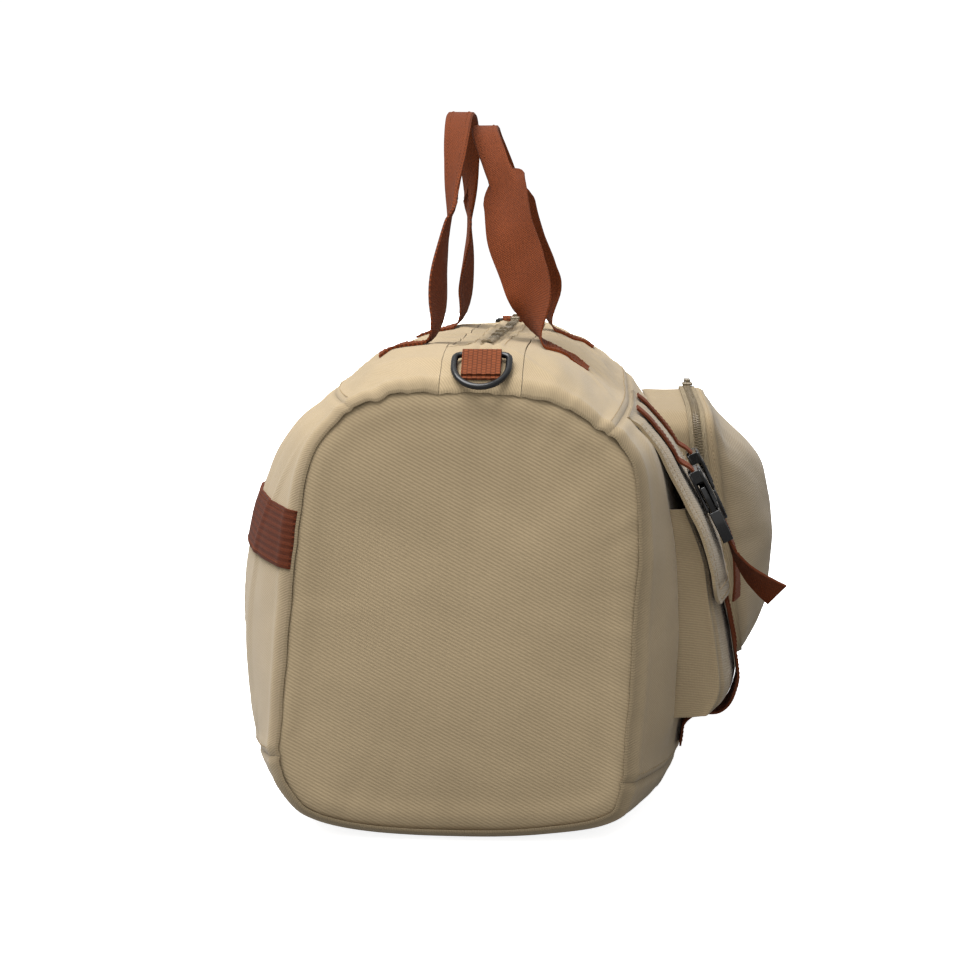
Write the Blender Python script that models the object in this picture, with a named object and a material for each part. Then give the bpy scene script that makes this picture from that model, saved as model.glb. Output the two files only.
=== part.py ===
"""Canvas duffel bag with webbing handles, a buckled flap pocket and a zipped box pocket.

Metres, +Z up. +X runs along the bag, -Y is the pocketed front. The origin is the middle of the
bounding box's base. Profiles below are in millimetres: u is the distance towards the front from
the bag's own middle plane, z the height; a is the distance in metres from the -X end.
"""

import math

import bmesh
import bpy
from mathutils import Matrix, Vector

# ---------------------------------------------------------------- driving dimensions
LENGTH = 0.550  # end panel to end panel
MID_Y = 0.0274
CLOTH = 0.0018  # canvas with its lining
WEB = 0.0016  # webbing thickness
WIDE_WEB = 0.038  # handle and back webbing
NARROW_WEB = 0.025  # buckle straps and D-ring tabs
GAP = 0.0004  # clearance left between neighbouring pieces
SIDE_RUN = 0.20  # length over which the sides reach full width
TOP_RUN = 0.065  # length over which the top reaches full height
TOP_SAG = 0.010  # how much lower the top lies at the +X end
ZIP_U = 0.011  # zip centre line
LIP = 0.026  # half-width of the part of the mouth that folds back
MOUTH = (0.0685, 0.4815)  # ends of the part of the mouth that folds back
HANDLE_A = (0.130, 0.400)  # centres of the handle's sewn feet
HANDLE_U = (-0.027, 0.041)  # where the back and front handles leave the top
HANDLE_TOP = 0.4775
FLAP_A = (0.050, 0.250)
POUCH_A = (0.055, 0.245)
POUCH_Z = (0.072, 0.213)
STRAP_A = (0.100, 0.200)
BOX_A = (0.270, 0.500)
BOX_Z = (0.065, 0.256)
BAND_Z = (0.180, 0.218)
RING_A = {-1: 0.0268, 1: 0.0290}
SLIDER_A = 0.490
POCKET_SLIDER_A = 0.462

# one loop at the end seams, one at the middle; each panel runs from seam to seam
PROFILES = {
    0: (
        [(11, 296), (60, 290), (95, 272)],
        [(11, 319.5), (60, 312), (107, 279)],
    ),
    1: (
        [(95, 272), (112, 250), (116, 214), (112, 147), (108, 80), (105, 42)],
        [(107, 279), (131, 245), (143, 204), (149, 164), (152, 122), (150, 76), (144, 35)],
    ),
    2: (
        [(105, 42), (98, 18), (50, 6), (-3, 3), (-65, 6), (-104, 17), (-119, 37), (-125, 57)],
        [(144, 35), (131, 14), (105, 2), (50, 0), (0, 0), (-60, 0), (-110, 2), (-140, 14), (-157, 38)],
    ),
    3: (
        [(-125, 57), (-120, 100), (-113, 168), (-106, 224), (-98, 262), (-74, 288)],
        [(-157, 38), (-164, 74), (-167, 127), (-160, 189), (-140, 240), (-100, 286)],
    ),
    4: (
        [(-74, 288), (-45, 297), (11, 296)],
        [(-100, 286), (-55, 313), (11, 319.5)],
    ),
}
FILL = [(0, 3.8), (1, 3.2), (2, 3.0), (2.5, 2.6), (3, 2.2), (4, 2.2), (4.5, 3.0), (5, 3.8)]
# distance of the flap and of the pouch front from the bag, by height: (z, at -X edge, at +X edge)
FLAP_OFF = [
    (151, 29.5, 25), (177, 27, 22), (192, 23, 19), (208.5, 18, 16), (218.5, 13, 13.5),
    (235, 7.5, 9), (254.5, 5.5, 6.5), (278, 4.0, 4.0),
]
POUCH_OFF = [
    (72, 24, 23), (78, 30, 28), (91, 34, 32), (101, 32.5, 30), (117, 29.5, 26),
    (151, 24, 19.5), (177, 21.5, 16.5), (192, 17.5, 13.5), (213, 10.5, 9.5),
]
# front of the box pocket at its middle: (z, u)
BOX_FRONT = [
    (65, 196), (70, 207), (87, 217.5), (115, 222), (138, 222.5), (161, 221.5), (188, 217.5),
    (208, 212), (220, 204), (231, 194), (240, 182), (256, 171),
]


# ---------------------------------------------------------------- small maths
def clamp(t, low=0.0, high=1.0):
    return min(max(t, low), high)


def smooth(t):
    t = clamp(t)
    return t * t * (3 - 2 * t)


def table(rows, x, column=1):
    if x <= rows[0][0]:
        return rows[0][column]
    for low, high in zip(rows, rows[1:]):
        if x <= high[0]:
            k = (x - low[0]) / (high[0] - low[0])
            return low[column] + k * (high[column] - low[column])
    return rows[-1][column]


def spline(points, t):
    """A point at fraction t of a smooth curve through the points, spaced by chord length."""
    lengths = [0.0]
    for p, q in zip(points, points[1:]):
        lengths.append(lengths[-1] + math.dist(p, q))
    at = clamp(t) * lengths[-1]
    i = 0
    while i < len(points) - 2 and at > lengths[i + 1]:
        i += 1

    def tangent(k):
        low, high = max(k - 1, 0), min(k + 1, len(points) - 1)
        span = lengths[high] - lengths[low]
        return [(b - a) / span for a, b in zip(points[low], points[high])]

    h = lengths[i + 1] - lengths[i]
    x = (at - lengths[i]) / h
    a, b = 2 * x**3 - 3 * x**2 + 1, x**3 - 2 * x**2 + x
    c, d = 3 * x**2 - 2 * x**3, x**3 - x**2
    m, n = tangent(i), tangent(i + 1)
    return [
        a * points[i][k] + b * h * m[k] + c * points[i + 1][k] + d * h * n[k]
        for k in range(len(points[0]))
    ]


def world(a, u, z):
    """u and z in metres."""
    return Vector((a - LENGTH / 2, MID_Y - u, z))


# ---------------------------------------------------------------- the bag's skin
def filling(T, a):
    near = min(a, LENGTH - a)
    side = 1 - (1 - clamp(near / SIDE_RUN)) ** table(FILL, T)
    top = 1 - (1 - clamp(near / TOP_RUN)) ** 2.2
    away = T if T < 2.5 else 5 - T
    return top + (side - top) * smooth(away)


def loop(T, a):
    """(u, z) in metres on the bag's outside: T runs 0 to 5 round the section from the zip."""
    T = T % 5.0
    panel = min(int(T), 4)
    end = spline(PROFILES[panel][0], T - panel)
    mid = spline(PROFILES[panel][1], T - panel)
    f = filling(T, a)
    u = end[0] + (mid[0] - end[0]) * f
    z = end[1] + (max(mid[1], 0.0) - end[1]) * f
    z -= 1000 * TOP_SAG * clamp((a - 0.065) / 0.425) * (mid[1] / 319.5) ** 2 * f
    return u / 1000, max(z, 0.0) / 1000


def outward(T, a):
    h = 0.05
    p, q = loop(T - h, a), loop(T + h, a)
    n = Vector((-(q[1] - p[1]), q[0] - p[0]))
    return n.normalized()


def skin(T, a, off=0.0):
    u, z = loop(T, a)
    n = outward(T, a)
    return world(a, u + n.x * off, z + n.y * off)


def top_T(u, a):
    """The loop position on the top that lies at distance u towards the front."""
    low, high = -1.0, 1.0
    for _ in range(40):
        mid = (low + high) / 2
        if loop(mid, a)[0] < u:
            low = mid
        else:
            high = mid
    return (low + high) / 2


def side_T(z, a, low, high):
    """The loop position between low and high at height z."""
    rising = loop(high, a)[1] > loop(low, a)[1]
    for _ in range(40):
        mid = (low + high) / 2
        if (loop(mid, a)[1] < z) == rising:
            low = mid
        else:
            high = mid
    return (low + high) / 2


def front_u(z, a):
    """u of the bag's front at height z."""
    return loop(side_T(z, a, 1.0, 2.3), a)[0]


# ---------------------------------------------------------------- scene and helpers
for old in list(bpy.data.objects):
    bpy.data.objects.remove(old, do_unlink=True)
bag = bpy.data.collections.new("duffel_bag")
cutters = bpy.data.collections.new("cutters")
bpy.context.scene.collection.children.link(bag)
bpy.context.scene.collection.children.link(cutters)


def material(name, colour, roughness, metallic=0.0):
    made = bpy.data.materials.new(name)
    made.use_nodes = True
    shader = made.node_tree.nodes["Principled BSDF"]
    shader.inputs["Base Color"].default_value = (*colour, 1)
    shader.inputs["Roughness"].default_value = roughness
    shader.inputs["Metallic"].default_value = metallic
    made.diffuse_color = (*colour, 1)
    return made


CANVAS = ("canvas", (0.40, 0.33, 0.22), 0.9)
BROWN = ("webbing", (0.24, 0.08, 0.025), 0.75)
BLACK = ("plastic", (0.012, 0.012, 0.012), 0.3)
ZIP = ("zip", (0.36, 0.30, 0.20), 0.6)
METAL = ("zip_metal", (0.30, 0.26, 0.19), 0.35, 0.9)
BOARD = ("board", (0.05, 0.05, 0.05), 0.7)


def keep(name, mesh, look, where=bag):
    obj = bpy.data.objects.new(name, mesh)
    obj.data.materials.append(material(name + "_" + look[0], *look[1:]))
    where.objects.link(obj)
    return obj


def slab(name, ns, nt, place, look, closed=False, where=bag):
    """A sheet with thickness: a grid extruded once, then every vertex moved by place(s, t, w),
    where s and t run 0 to 1 over the sheet and w is 0 on the outside and 1 on the inside."""
    bm = bmesh.new()
    bmesh.ops.create_grid(bm, x_segments=ns, y_segments=nt, size=0.5)
    made = bmesh.ops.extrude_face_region(bm, geom=bm.faces[:], use_keep_orig=True)
    for v in made["geom"]:
        if isinstance(v, bmesh.types.BMVert):
            v.co.z = 1.0
    if closed:
        rims = [
            f
            for f in bm.faces
            if all(v.co.x < -0.499 for v in f.verts) or all(v.co.x > 0.499 for v in f.verts)
        ]
        bmesh.ops.delete(bm, geom=rims, context="FACES_ONLY")
    if not closed:
        bmesh.ops.recalc_face_normals(bm, faces=bm.faces[:])
    for v in bm.verts:
        s = v.co.x + 0.5
        if closed and s > 0.9999:
            s = 0.0
        v.co = place(clamp(s), clamp(v.co.y + 0.5), v.co.z)
    if closed:
        bmesh.ops.remove_doubles(bm, verts=bm.verts[:], dist=1e-6)
        bmesh.ops.recalc_face_normals(bm, faces=bm.faces[:])
    if bm.calc_volume(signed=True) < 0:
        bmesh.ops.reverse_faces(bm, faces=bm.faces[:])
    mesh = bpy.data.meshes.new(name)
    bm.to_mesh(mesh)
    bm.free()
    return keep(name, mesh, look, where)


def block(name, size, at, look, bevel=0.0, where=bag):
    """A box, its size and centre in metres, in its object's own axes."""
    bm = bmesh.new()
    bmesh.ops.create_cube(bm, size=1.0)
    bmesh.ops.scale(bm, vec=size, verts=bm.verts[:])
    bmesh.ops.translate(bm, vec=at, verts=bm.verts[:])
    if bevel:
        bmesh.ops.bevel(
            bm, geom=bm.edges[:], offset=bevel, segments=1, affect="EDGES", clamp_overlap=True
        )
    mesh = bpy.data.meshes.new(name)
    bm.to_mesh(mesh)
    bm.free()
    return keep(name, mesh, look, where)


def boolean(obj, other, operation="DIFFERENCE"):
    step = obj.modifiers.new(operation.lower() + "_" + other.name, "BOOLEAN")
    step.operation = operation
    step.solver = "EXACT"
    step.object = other
    other.hide_render = True
    other.display_type = "WIRE"


def spaced(values, s):
    """Grid position to a value, through a list of break points evenly spread over 0 to 1."""
    at = clamp(s) * (len(values) - 1)
    i = min(int(at), len(values) - 2)
    return values[i] + (values[i + 1] - values[i]) * (at - i)


# ---------------------------------------------------------------- body panels
BODY_A = [0.006, 0.012, 0.022, 0.038, 0.060, 0.090, 0.130, 0.175, 0.230, 0.290, 0.345, 0.395]
BODY_A += [0.440, 0.475, 0.500, 0.520, 0.533, 0.540, 0.544]
BODY_N = len(BODY_A) - 1


def seam(T, a):
    """Room left at a seam, as a change of loop position."""
    p, q = loop(T - 0.01, a), loop(T + 0.01, a)
    return 0.02 * (GAP / 2) / max(math.dist(p, q), 1e-6)


def body_panel(name, low, high, nt, look=CANVAS, a_values=BODY_A, inner=CLOTH, outer=0.0):
    def place(s, t, w):
        a = spaced(a_values, s)
        first, last = low(a), high(a)
        return skin(first + (last - first) * t, a, -inner * w + outer * (1 - w))

    return slab(name, len(a_values) - 1, nt, place, look)


body_panel(
    "front_panel", lambda a: 1 + seam(1, a), lambda a: 2 - seam(2, a), 9
)
body_panel(
    "bottom_panel", lambda a: 2 + seam(2, a), lambda a: 3 - seam(3, a), 14
)
body_panel(
    "back_panel", lambda a: 3 + seam(3, a), lambda a: 4 - seam(4, a), 9
)
body_panel(
    "top_front_panel",
    lambda a: top_T(ZIP_U + LIP + GAP, a),
    lambda a: 1 - seam(1, a),
    4,
)
body_panel(
    "top_back_panel",
    lambda a: 4 + seam(4, a) - 5,
    lambda a: top_T(ZIP_U - LIP - GAP, a),
    5,
)
for side, ends in (
    ("left", [0.006, 0.012, 0.022, 0.038, 0.052, MOUTH[0] - GAP]),
    ("right", [MOUTH[1] + GAP, 0.498, 0.512, 0.528, 0.538, 0.544]),
):
    body_panel(
        "zip_end_" + side,
        lambda a: top_T(ZIP_U - LIP, a),
        lambda a: top_T(ZIP_U + LIP, a),
        6,
        a_values=ends,
    )

# the stiff board that lies inside on the base
BOARD_A = [0.035, 0.060, 0.100, 0.150, 0.215, 0.275, 0.335, 0.400, 0.450, 0.490, 0.515]


def board_place(s, t, w):
    a = spaced(BOARD_A, s)
    return skin(2.26 + 0.46 * t, a, -(CLOTH + GAP) - 0.0025 * w)


slab("base_board", len(BOARD_A) - 1, 8, board_place, BOARD)


# end panels: a square grid wrapped onto the section, slightly domed
def end_radius(angle, a, table_of={}):
    key = round(a, 4)
    if key not in table_of:
        rows = []
        for i in range(240):
            u, z = loop(5.0 * i / 240, a)
            rows.append((math.atan2(z - 0.155, u), math.hypot(u, z - 0.155)))
        rows.sort()
        first, last = rows[0], rows[-1]
        rows = [(last[0] - math.tau, last[1]), *rows, (first[0] + math.tau, first[1])]
        table_of[key] = rows
    return table(table_of[key], angle)


def end_place(sign):
    def place(s, t, w):
        x, y = 2 * s - 1, 2 * t - 1
        du, dz = x * math.sqrt(1 - y * y / 2), y * math.sqrt(1 - x * x / 2)
        r = min(math.hypot(du, dz), 1.0)
        angle = math.atan2(dz, du) if r > 1e-9 else 0.0
        near = 0.008 if sign < 0 else LENGTH - 0.008
        reach = (end_radius(angle, near) - CLOTH - 0.0021) * r
        a = 0.0085 - 0.0085 * (1 - r**2.4) + CLOTH * w
        if sign < 0:
            return world(a, math.cos(angle) * reach, 0.155 + math.sin(angle) * reach)
        return world(LENGTH - a, math.cos(angle) * reach, 0.155 + math.sin(angle) * reach)

    return place


slab("end_panel_left", 12, 12, end_place(-1), CANVAS)
slab("end_panel_right", 12, 12, end_place(1), CANVAS)

# the wide webbing band along the back
BAND_A = BODY_A


def band_place(s, t, w):
    a = spaced(BAND_A, s)
    z = BAND_Z[0] + (BAND_Z[1] - BAND_Z[0]) * t
    return skin(side_T(z, a, 3.0, 4.0), a, GAP + WEB * (1 - w))


slab("back_strap", len(BAND_A) - 1, 2, band_place, BROWN)


# ---------------------------------------------------------------- mouth: two lips and teeth
LIP_A = [MOUTH[0] + (MOUTH[1] - MOUTH[0]) * i / 8 for i in range(9)]


def lip(name, near, far, nt, low, high, look):
    def place(s, t, w):
        a = spaced(LIP_A, s)
        u = ZIP_U + near + (far - near) * t
        return skin(top_T(u, a), a, low + (high - low) * (1 - w))

    return slab(name, 8, nt, place, look)


lip("lip_front", 0.0003, LIP - GAP, 3, -CLOTH, 0.0, CANVAS)
lip("lip_back", -0.0003, -LIP + GAP, 3, -CLOTH, 0.0, CANVAS)
lip("zip_teeth_front", 0.0003, 0.0040, 1, GAP, GAP + 0.0014, ZIP)
lip("zip_teeth_back", -0.0003, -0.0040, 1, GAP, GAP + 0.0014, ZIP)


def on_top(a, u, off):
    return skin(top_T(u, a), a, off)


def pose(obj, at, along, up):
    """Put an object's own +X along one direction and its +Z near another, at a point."""
    x = along.normalized()
    y = up.cross(x).normalized()
    z = x.cross(y)
    obj.matrix_world = Matrix.Translation(at) @ Matrix((x, y, z)).transposed().to_4x4()
    return obj


def slider(name, at, along, up, look=METAL):
    """A zip slider: base plate with a bridge over it that the pull hangs from."""
    base = block(name, (0.0115, 0.0085, 0.0026), (0, 0, 0.0013), look, 0.0006)
    post = block(
        name + "_post", (0.0050, 0.0030, 0.0030), (0.0, 0, 0.0036), look, 0.0004, cutters
    )
    boolean(base, post, "UNION")
    hole = block(name + "_hole", (0.0024, 0.0050, 0.0018), (0.0, 0, 0.0037), look, 0, cutters)
    boolean(base, hole)
    for piece in (base, post, hole):
        pose(piece, at, along, up)
    return base


def pull(name, at, along, up, length=0.020, look=METAL):
    """A zip pull: a flat tab with a cross pin held in the slider's bridge."""
    tab = block(name, (length - 0.0042, 0.0056, 0.0014), ((length + 0.0042) / 2, 0, 0), look, 0.0004)
    for y in (-0.0023, 0.0023):
        arm = block(
            name + ("_arm_r" if y > 0 else "_arm_l"),
            (0.0060, 0.0010, 0.0014),
            (0.0022, y, 0),
            look,
            0,
            cutters,
        )
        boolean(tab, arm, "UNION")
        pose(arm, at, along, up)
    pin = block(name + "_pin", (0.0014, 0.0046, 0.0009), (0, 0, 0), look, 0, cutters)
    boolean(tab, pin, "UNION")
    for piece in (tab, pin):
        pose(piece, at, along, up)
    return tab


ZIP_DIR = (on_top(0.48, ZIP_U, 0) - on_top(0.075, ZIP_U, 0)).normalized()
SLIDER_AT = on_top(SLIDER_A, ZIP_U, GAP + 0.0014 + 0.0008)
UP = Vector((0, -1, 0)).cross(ZIP_DIR) * -1
if UP.z < 0:
    UP = -UP
slider("main_slider", SLIDER_AT, ZIP_DIR, UP)
pull("main_pull", SLIDER_AT + UP * 0.0037, ZIP_DIR, UP, 0.0205)


# ---------------------------------------------------------------- D-rings and their tabs
RING_OFF = 0.0042


def along_top(side, a, off):
    """(x, z) over the zip's centre line, a counted from the end on that side."""
    p = on_top(a if side < 0 else LENGTH - a, ZIP_U, off)
    return p.x, p.z


def ring_tab(name, side):
    """Webbing that runs up from the end seam, round the ring's bar and back on itself."""
    bx, bz = along_top(side, RING_A[side], RING_OFF)
    points = [along_top(side, a, 0.0013) for a in (0.0085, 0.0140, 0.0195)]
    slope = math.atan2(bz - points[-1][1], side * (points[-1][0] - bx))
    for i in range(10):
        angle = -math.pi / 2 + slope + math.radians(190) * i / 9
        points.append((bx - side * 0.0031 * math.cos(angle), bz + 0.0031 * math.sin(angle)))
    points += [along_top(side, a, off) for a, off in ((0.0180, 0.0052), (0.0140, 0.0036), (0.0100, 0.0034))]

    def place(s, t, w):
        i = round(s * (len(points) - 1))
        before, after = points[max(i - 1, 0)], points[min(i + 1, len(points) - 1)]
        d = Vector((after[0] - before[0], after[1] - before[1])).normalized() * side
        x = points[i][0] + d.y * (0.5 - w) * 0.0014
        z = points[i][1] - d.x * (0.5 - w) * 0.0014
        return Vector((x, MID_Y - ZIP_U + NARROW_WEB * (t - 0.5), z))

    return slab(name, len(points) - 1, 1, place, BROWN)


def ring_frame(side):
    a = RING_A[side] if side < 0 else LENGTH - RING_A[side]
    at = on_top(a, ZIP_U, RING_OFF)
    fall = math.radians(31 if side < 0 else 20)
    out = Vector((side * math.cos(fall), 0, -math.sin(fall)))
    up = Vector((side * math.sin(fall), 0, math.cos(fall)))
    return at, out, up


def d_ring(name, side):
    """A plastic D: local X is outward from the bar, local Y along the bar."""
    data = bpy.data.curves.new(name, "CURVE")
    data.dimensions = "3D"
    data.bevel_depth = 0.0021
    data.bevel_resolution = 1
    data.use_fill_caps = True
    half, reach = 0.0175, 0.0345
    points = [(0.0, y) for y in (-0.0145, 0.0, 0.0145)]
    points += [(0.0012, 0.0168), (0.0045, half)]
    for i in range(1, 10):
        angle = math.radians(90 - 180 * i / 10)
        points.append((0.012 + (reach - 0.012) * math.cos(angle), half * math.sin(angle)))
    points += [(0.0045, -half), (0.0012, -0.0168)]
    line = data.splines.new("POLY")
    line.points.add(len(points) - 1)
    for target, (x, y) in zip(line.points, points):
        target.co = (x, y, 0, 1)
    line.use_cyclic_u = True
    obj = bpy.data.objects.new(name, data)
    obj.data.materials.append(material(name + "_plastic", *BLACK[1:]))
    bag.objects.link(obj)
    at, out, up = ring_frame(side)
    return pose(obj, at, out, up)


for side, word in ((-1, "left"), (1, "right")):
    ring_tab("d_ring_tab_" + word, side)
    d_ring("d_ring_" + word, side)


# ---------------------------------------------------------------- handles
FOOT = [-0.5, -0.25, 0.0, 0.25, 0.5]


def handle_tail(name, a_centre, u_near, u_far):
    """The sewn tail of a handle, lying on the top panel."""

    def place(s, t, w):
        u = u_near + (u_far - u_near) * s
        a = a_centre + WIDE_WEB * (t - 0.5)
        return on_top(a, u, GAP + WEB * (1 - w))

    return slab(name, 6, 3, place, BROWN)


for word, sign, root_u in (("back", -1, HANDLE_U[0]), ("front", 1, HANDLE_U[1])):
    for a_centre, side in zip(HANDLE_A, ("left", "right")):
        handle_tail(
            f"handle_tail_{word}_{side}",
            a_centre,
            root_u + sign * 0.0018,
            root_u + sign * 0.0370,
        )

# centre line from the foot to the grip: fraction of the way, distance in along the bag, u, z
# and turn in degrees. Turn 0 keeps the webbing's width in the handle's own plane, 90 lays it across.
# where each leg's webbing starts to double over, and how long that takes
FOLDS = {"back": (0.34, 0.12), "front": (0.575, 0.10)}
LEGS = {
    "back": [
        (0.00, 0, -26.0, 0, 0), (0.08, 3, -25.8, 345, -13), (0.22, 15, -23.2, 374, -5),
        (0.38, 33, -19.8, 406, 14), (0.55, 55, -18.6, 437, 48), (0.70, 78, -18.4, 460, 74),
        (0.84, 104, -18.5, 474, 89), (1.00, 135, -18.5, 477.2, 90),
    ],
    "front": [
        (0.00, 0, 40.0, 0, 0), (0.08, 3, 39.5, 343, 42), (0.22, 15, 32.5, 366, 54),
        (0.38, 33, 22.5, 392, 57), (0.55, 55, 17.5, 419, 52), (0.70, 78, 8.5, 443, 66),
        (0.84, 104, 0.6, 462, 82), (1.00, 135, -0.6, 467.5, 90),
    ],
}


def keyed(rows, k):
    """A smooth value at k from rows that start with their own k."""
    i = 0
    while i < len(rows) - 2 and k > rows[i + 1][0]:
        i += 1

    def tangent(n):
        low, high = max(n - 1, 0), min(n + 1, len(rows) - 1)
        span = rows[high][0] - rows[low][0]
        return [(b - a) / span for a, b in zip(rows[low], rows[high])]

    h = rows[i + 1][0] - rows[i][0]
    x = (k - rows[i][0]) / h
    a, b = 2 * x**3 - 3 * x**2 + 1, x**3 - 2 * x**2 + x
    c, d = 3 * x**2 - 2 * x**3, x**3 - x**2
    m, n = tangent(i), tangent(i + 1)
    return [
        a * rows[i][q] + b * h * m[q] + c * rows[i + 1][q] + d * h * n[q]
        for q in range(len(rows[0]))
    ]


def leg_station(word, k, side):
    """(a, u, z, turn, half-width, half-thickness) at fraction k of the way to the grip."""
    rows = LEGS[word]
    a_centre = HANDLE_A[0] if side < 0 else HANDLE_A[1]
    foot = on_top(a_centre, rows[0][2] / 1000, GAP + WEB).z * 1000 + 0.6
    rows = [(0.0, 0, rows[0][2], foot, rows[0][4]), *rows[1:]]
    mirrored = rows[-2]
    rows.append((2 - mirrored[0], 2 * rows[-1][1] - mirrored[1], *mirrored[2:]))
    _, inward, u, z, turn = keyed(rows, k)
    a = HANDLE_A[0] + inward / 1000 if side < 0 else HANDLE_A[1] - inward / 1000
    fold = smooth((k - FOLDS[word][0]) / FOLDS[word][1])
    half = WIDE_WEB / 2 * (1 - 0.5 * fold)
    thick = WEB / 2 * (1 + 1.1 * fold)
    return a, u / 1000, z / 1000, math.radians(turn), half, thick


def handle(name, word):
    steps = [0, 0.03, 0.08, 0.16, 0.25, 0.34, 0.43, 0.52, 0.60, 0.67, 0.73, 0.79, 0.86, 0.93, 1.0]
    stations = [(k, -1) for k in steps] + [(k, 1) for k in steps[-2::-1]]
    centre = []
    for k, side in stations:
        a, u, z, *_ = leg_station(word, k, side)
        centre.append(world(a, u, z))

    def place(s, t, w):
        i = round(s * (len(stations) - 1))
        k, side = stations[i]
        a, u, z, turn, half, thick = leg_station(word, k, side)
        before, after = centre[max(i - 1, 0)], centre[min(i + 1, len(centre) - 1)]
        along = (after - before).normalized()
        if i == 0:
            along = Vector((0, 0, 1))
        if i == len(stations) - 1:
            along = Vector((0, 0, -1))
        # the plane of the handle is close to XZ: "in" is in that plane, across it is Y
        across = Vector((0, -1, 0))
        across = (across - along * across.dot(along)).normalized()
        inplane = across.cross(along) * (1 if side < 0 else -1)
        if side > 0:
            inplane = -inplane
        wide = inplane * math.cos(turn) + across * math.sin(turn)
        if side > 0:
            wide = -inplane * math.cos(turn) + across * math.sin(turn)
        face = along.cross(wide).normalized()
        point = centre[i] + wide * half * (2 * t - 1) + face * thick * (1 - 2 * w)
        if i in (0, len(stations) - 1):
            # the foot stands on the sewn tail, level with the top under it
            ground = on_top(point.x + LENGTH / 2, MID_Y - point.y, GAP + WEB).z + 0.0006
            point.z = ground
        return point

    obj = slab(name, len(stations) - 1, 2, place, BROWN)
    return obj


handle("handle_back", "back")
handle("handle_front", "front")


# ---------------------------------------------------------------- pouch with a buckled flap
def along_flap(rows, z, a):
    k = clamp((a - FLAP_A[0]) / (FLAP_A[1] - FLAP_A[0]))
    near, far = table(rows, z * 1000, 1), table(rows, z * 1000, 2)
    return (near + (far - near) * k) / 1000


def flap_u(z, a):
    return front_u(z, a) + along_flap(FLAP_OFF, z, a)


def pouch_u(z, a):
    return front_u(z, a) + along_flap(POUCH_OFF, z, a)


FLAP_Z = [0.2775, 0.266, 0.252, 0.236, 0.220, 0.2085, 0.194, 0.178, 0.163, 0.150]


def flap_point(z, a, off):
    u = flap_u(z, a)
    up, down = (flap_u(z + 0.006, a), z + 0.006), (flap_u(z - 0.006, a), z - 0.006)
    d = Vector((down[0] - up[0], down[1] - up[1])).normalized()
    return world(a, u - d.y * off, z + d.x * off)


def flap_sag(z, a):
    """The top of the flap follows the bag's front seam, which is lower towards +X."""
    top = loop(1.0, a)[1] - 0.0015
    k = clamp((z - 0.236) / (0.2775 - 0.236))
    return z + (top - 0.2775) * k


def flap_place(s, t, w):
    a = FLAP_A[0] + (FLAP_A[1] - FLAP_A[0]) * s
    z = flap_sag(spaced(FLAP_Z, t), a)
    return flap_point(z, a, -CLOTH * w)


slab("pocket_flap", 6, len(FLAP_Z) - 1, flap_place, CANVAS)

TRAY_A = [0.0, 0.0005, 0.0018, 0.0070, 0.030, 0.070, 0.120, 0.160, 0.183, 0.1882, 0.1895, 0.190]
TRAY_K = [0.0, 0.55, 0.94, 1.0, 1.0, 1.0, 1.0, 1.0, 1.0, 0.94, 0.55, 0.0]
TRAY_Z = [0.213, 0.198, 0.180, 0.157, 0.133, 0.109, 0.091, 0.080, 0.0740, 0.0725, 0.0720]
TRAY_KZ = [1.0, 1.0, 1.0, 1.0, 1.0, 1.0, 1.0, 1.0, 0.92, 0.5, 0.0]


def pouch_place(s, t, w):
    a = POUCH_A[0] + spaced(TRAY_A, s)
    z = spaced(TRAY_Z, t)
    k = min(spaced(TRAY_K, s), spaced(TRAY_KZ, t))
    off = max(k * along_flap(POUCH_OFF, z, a), 0.0007)
    if w > 0.5:
        mid = sum(POUCH_A) / 2
        a += CLOTH * smooth((abs(a - mid) - 0.040) / 0.045) * (1 if a < mid else -1)
        z += CLOTH * smooth((0.110 - z) / 0.030)
        off = max(off - CLOTH, 0.0007)
    return world(a, front_u(z, a) + off, z)


slab("pocket_bag", len(TRAY_A) - 1, len(TRAY_Z) - 1, pouch_place, CANVAS)


def ribbon(name, points, a_centre, look=BROWN, width=NARROW_WEB, thick=WEB, skew=None):
    """Webbing through (u, z) points in metres, its width along X unless skew turns it."""

    def place(s, t, w):
        i = round(s * (len(points) - 1))
        before, after = points[max(i - 1, 0)], points[min(i + 1, len(points) - 1)]
        d = Vector((0, -(after[0] - before[0]), after[1] - before[1])).normalized()
        wide = Vector((1, 0, 0))
        if skew:
            wide = Matrix.Rotation(math.radians(skew[i]), 3, d) @ wide
        n = wide.cross(d).normalized()
        if n.y > 0:
            n = -n
        at = world(a_centre, *points[i])
        return at + wide * width * (t - 0.5) + n * thick * (0.5 - w)

    return slab(name, len(points) - 1, 1, place, look)


def flap_line(z, a, off):
    p = flap_point(flap_sag(z, a), a, off)
    return MID_Y - p.y, p.z


for word, a in zip(("left", "right"), STRAP_A):
    # over the flap, from its seam to the socket
    zs = [0.2765, 0.268, 0.258, 0.248, 0.240, 0.2335]
    ribbon("flap_strap_" + word, [flap_line(z, a, GAP + WEB / 2 + 0.0004) for z in zs], a)
    # from the bag's lower front seam, under the pouch and up its front
    up = []
    for z in (0.045, 0.055, 0.064):
        up.append((front_u(z, a) + GAP + WEB / 2 + 0.0010, z))
    up.append((front_u(0.0675, a) + 0.0115, 0.0683))
    up.append((pouch_u(0.074, a) + 0.0016, 0.0695))
    for z in (0.080, 0.094, 0.110, 0.125, 0.138, 0.1475):
        up.append((pouch_u(z, a) + GAP + WEB / 2 + 0.0020, z))
    ribbon("pocket_strap_" + word, up, a)


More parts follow.
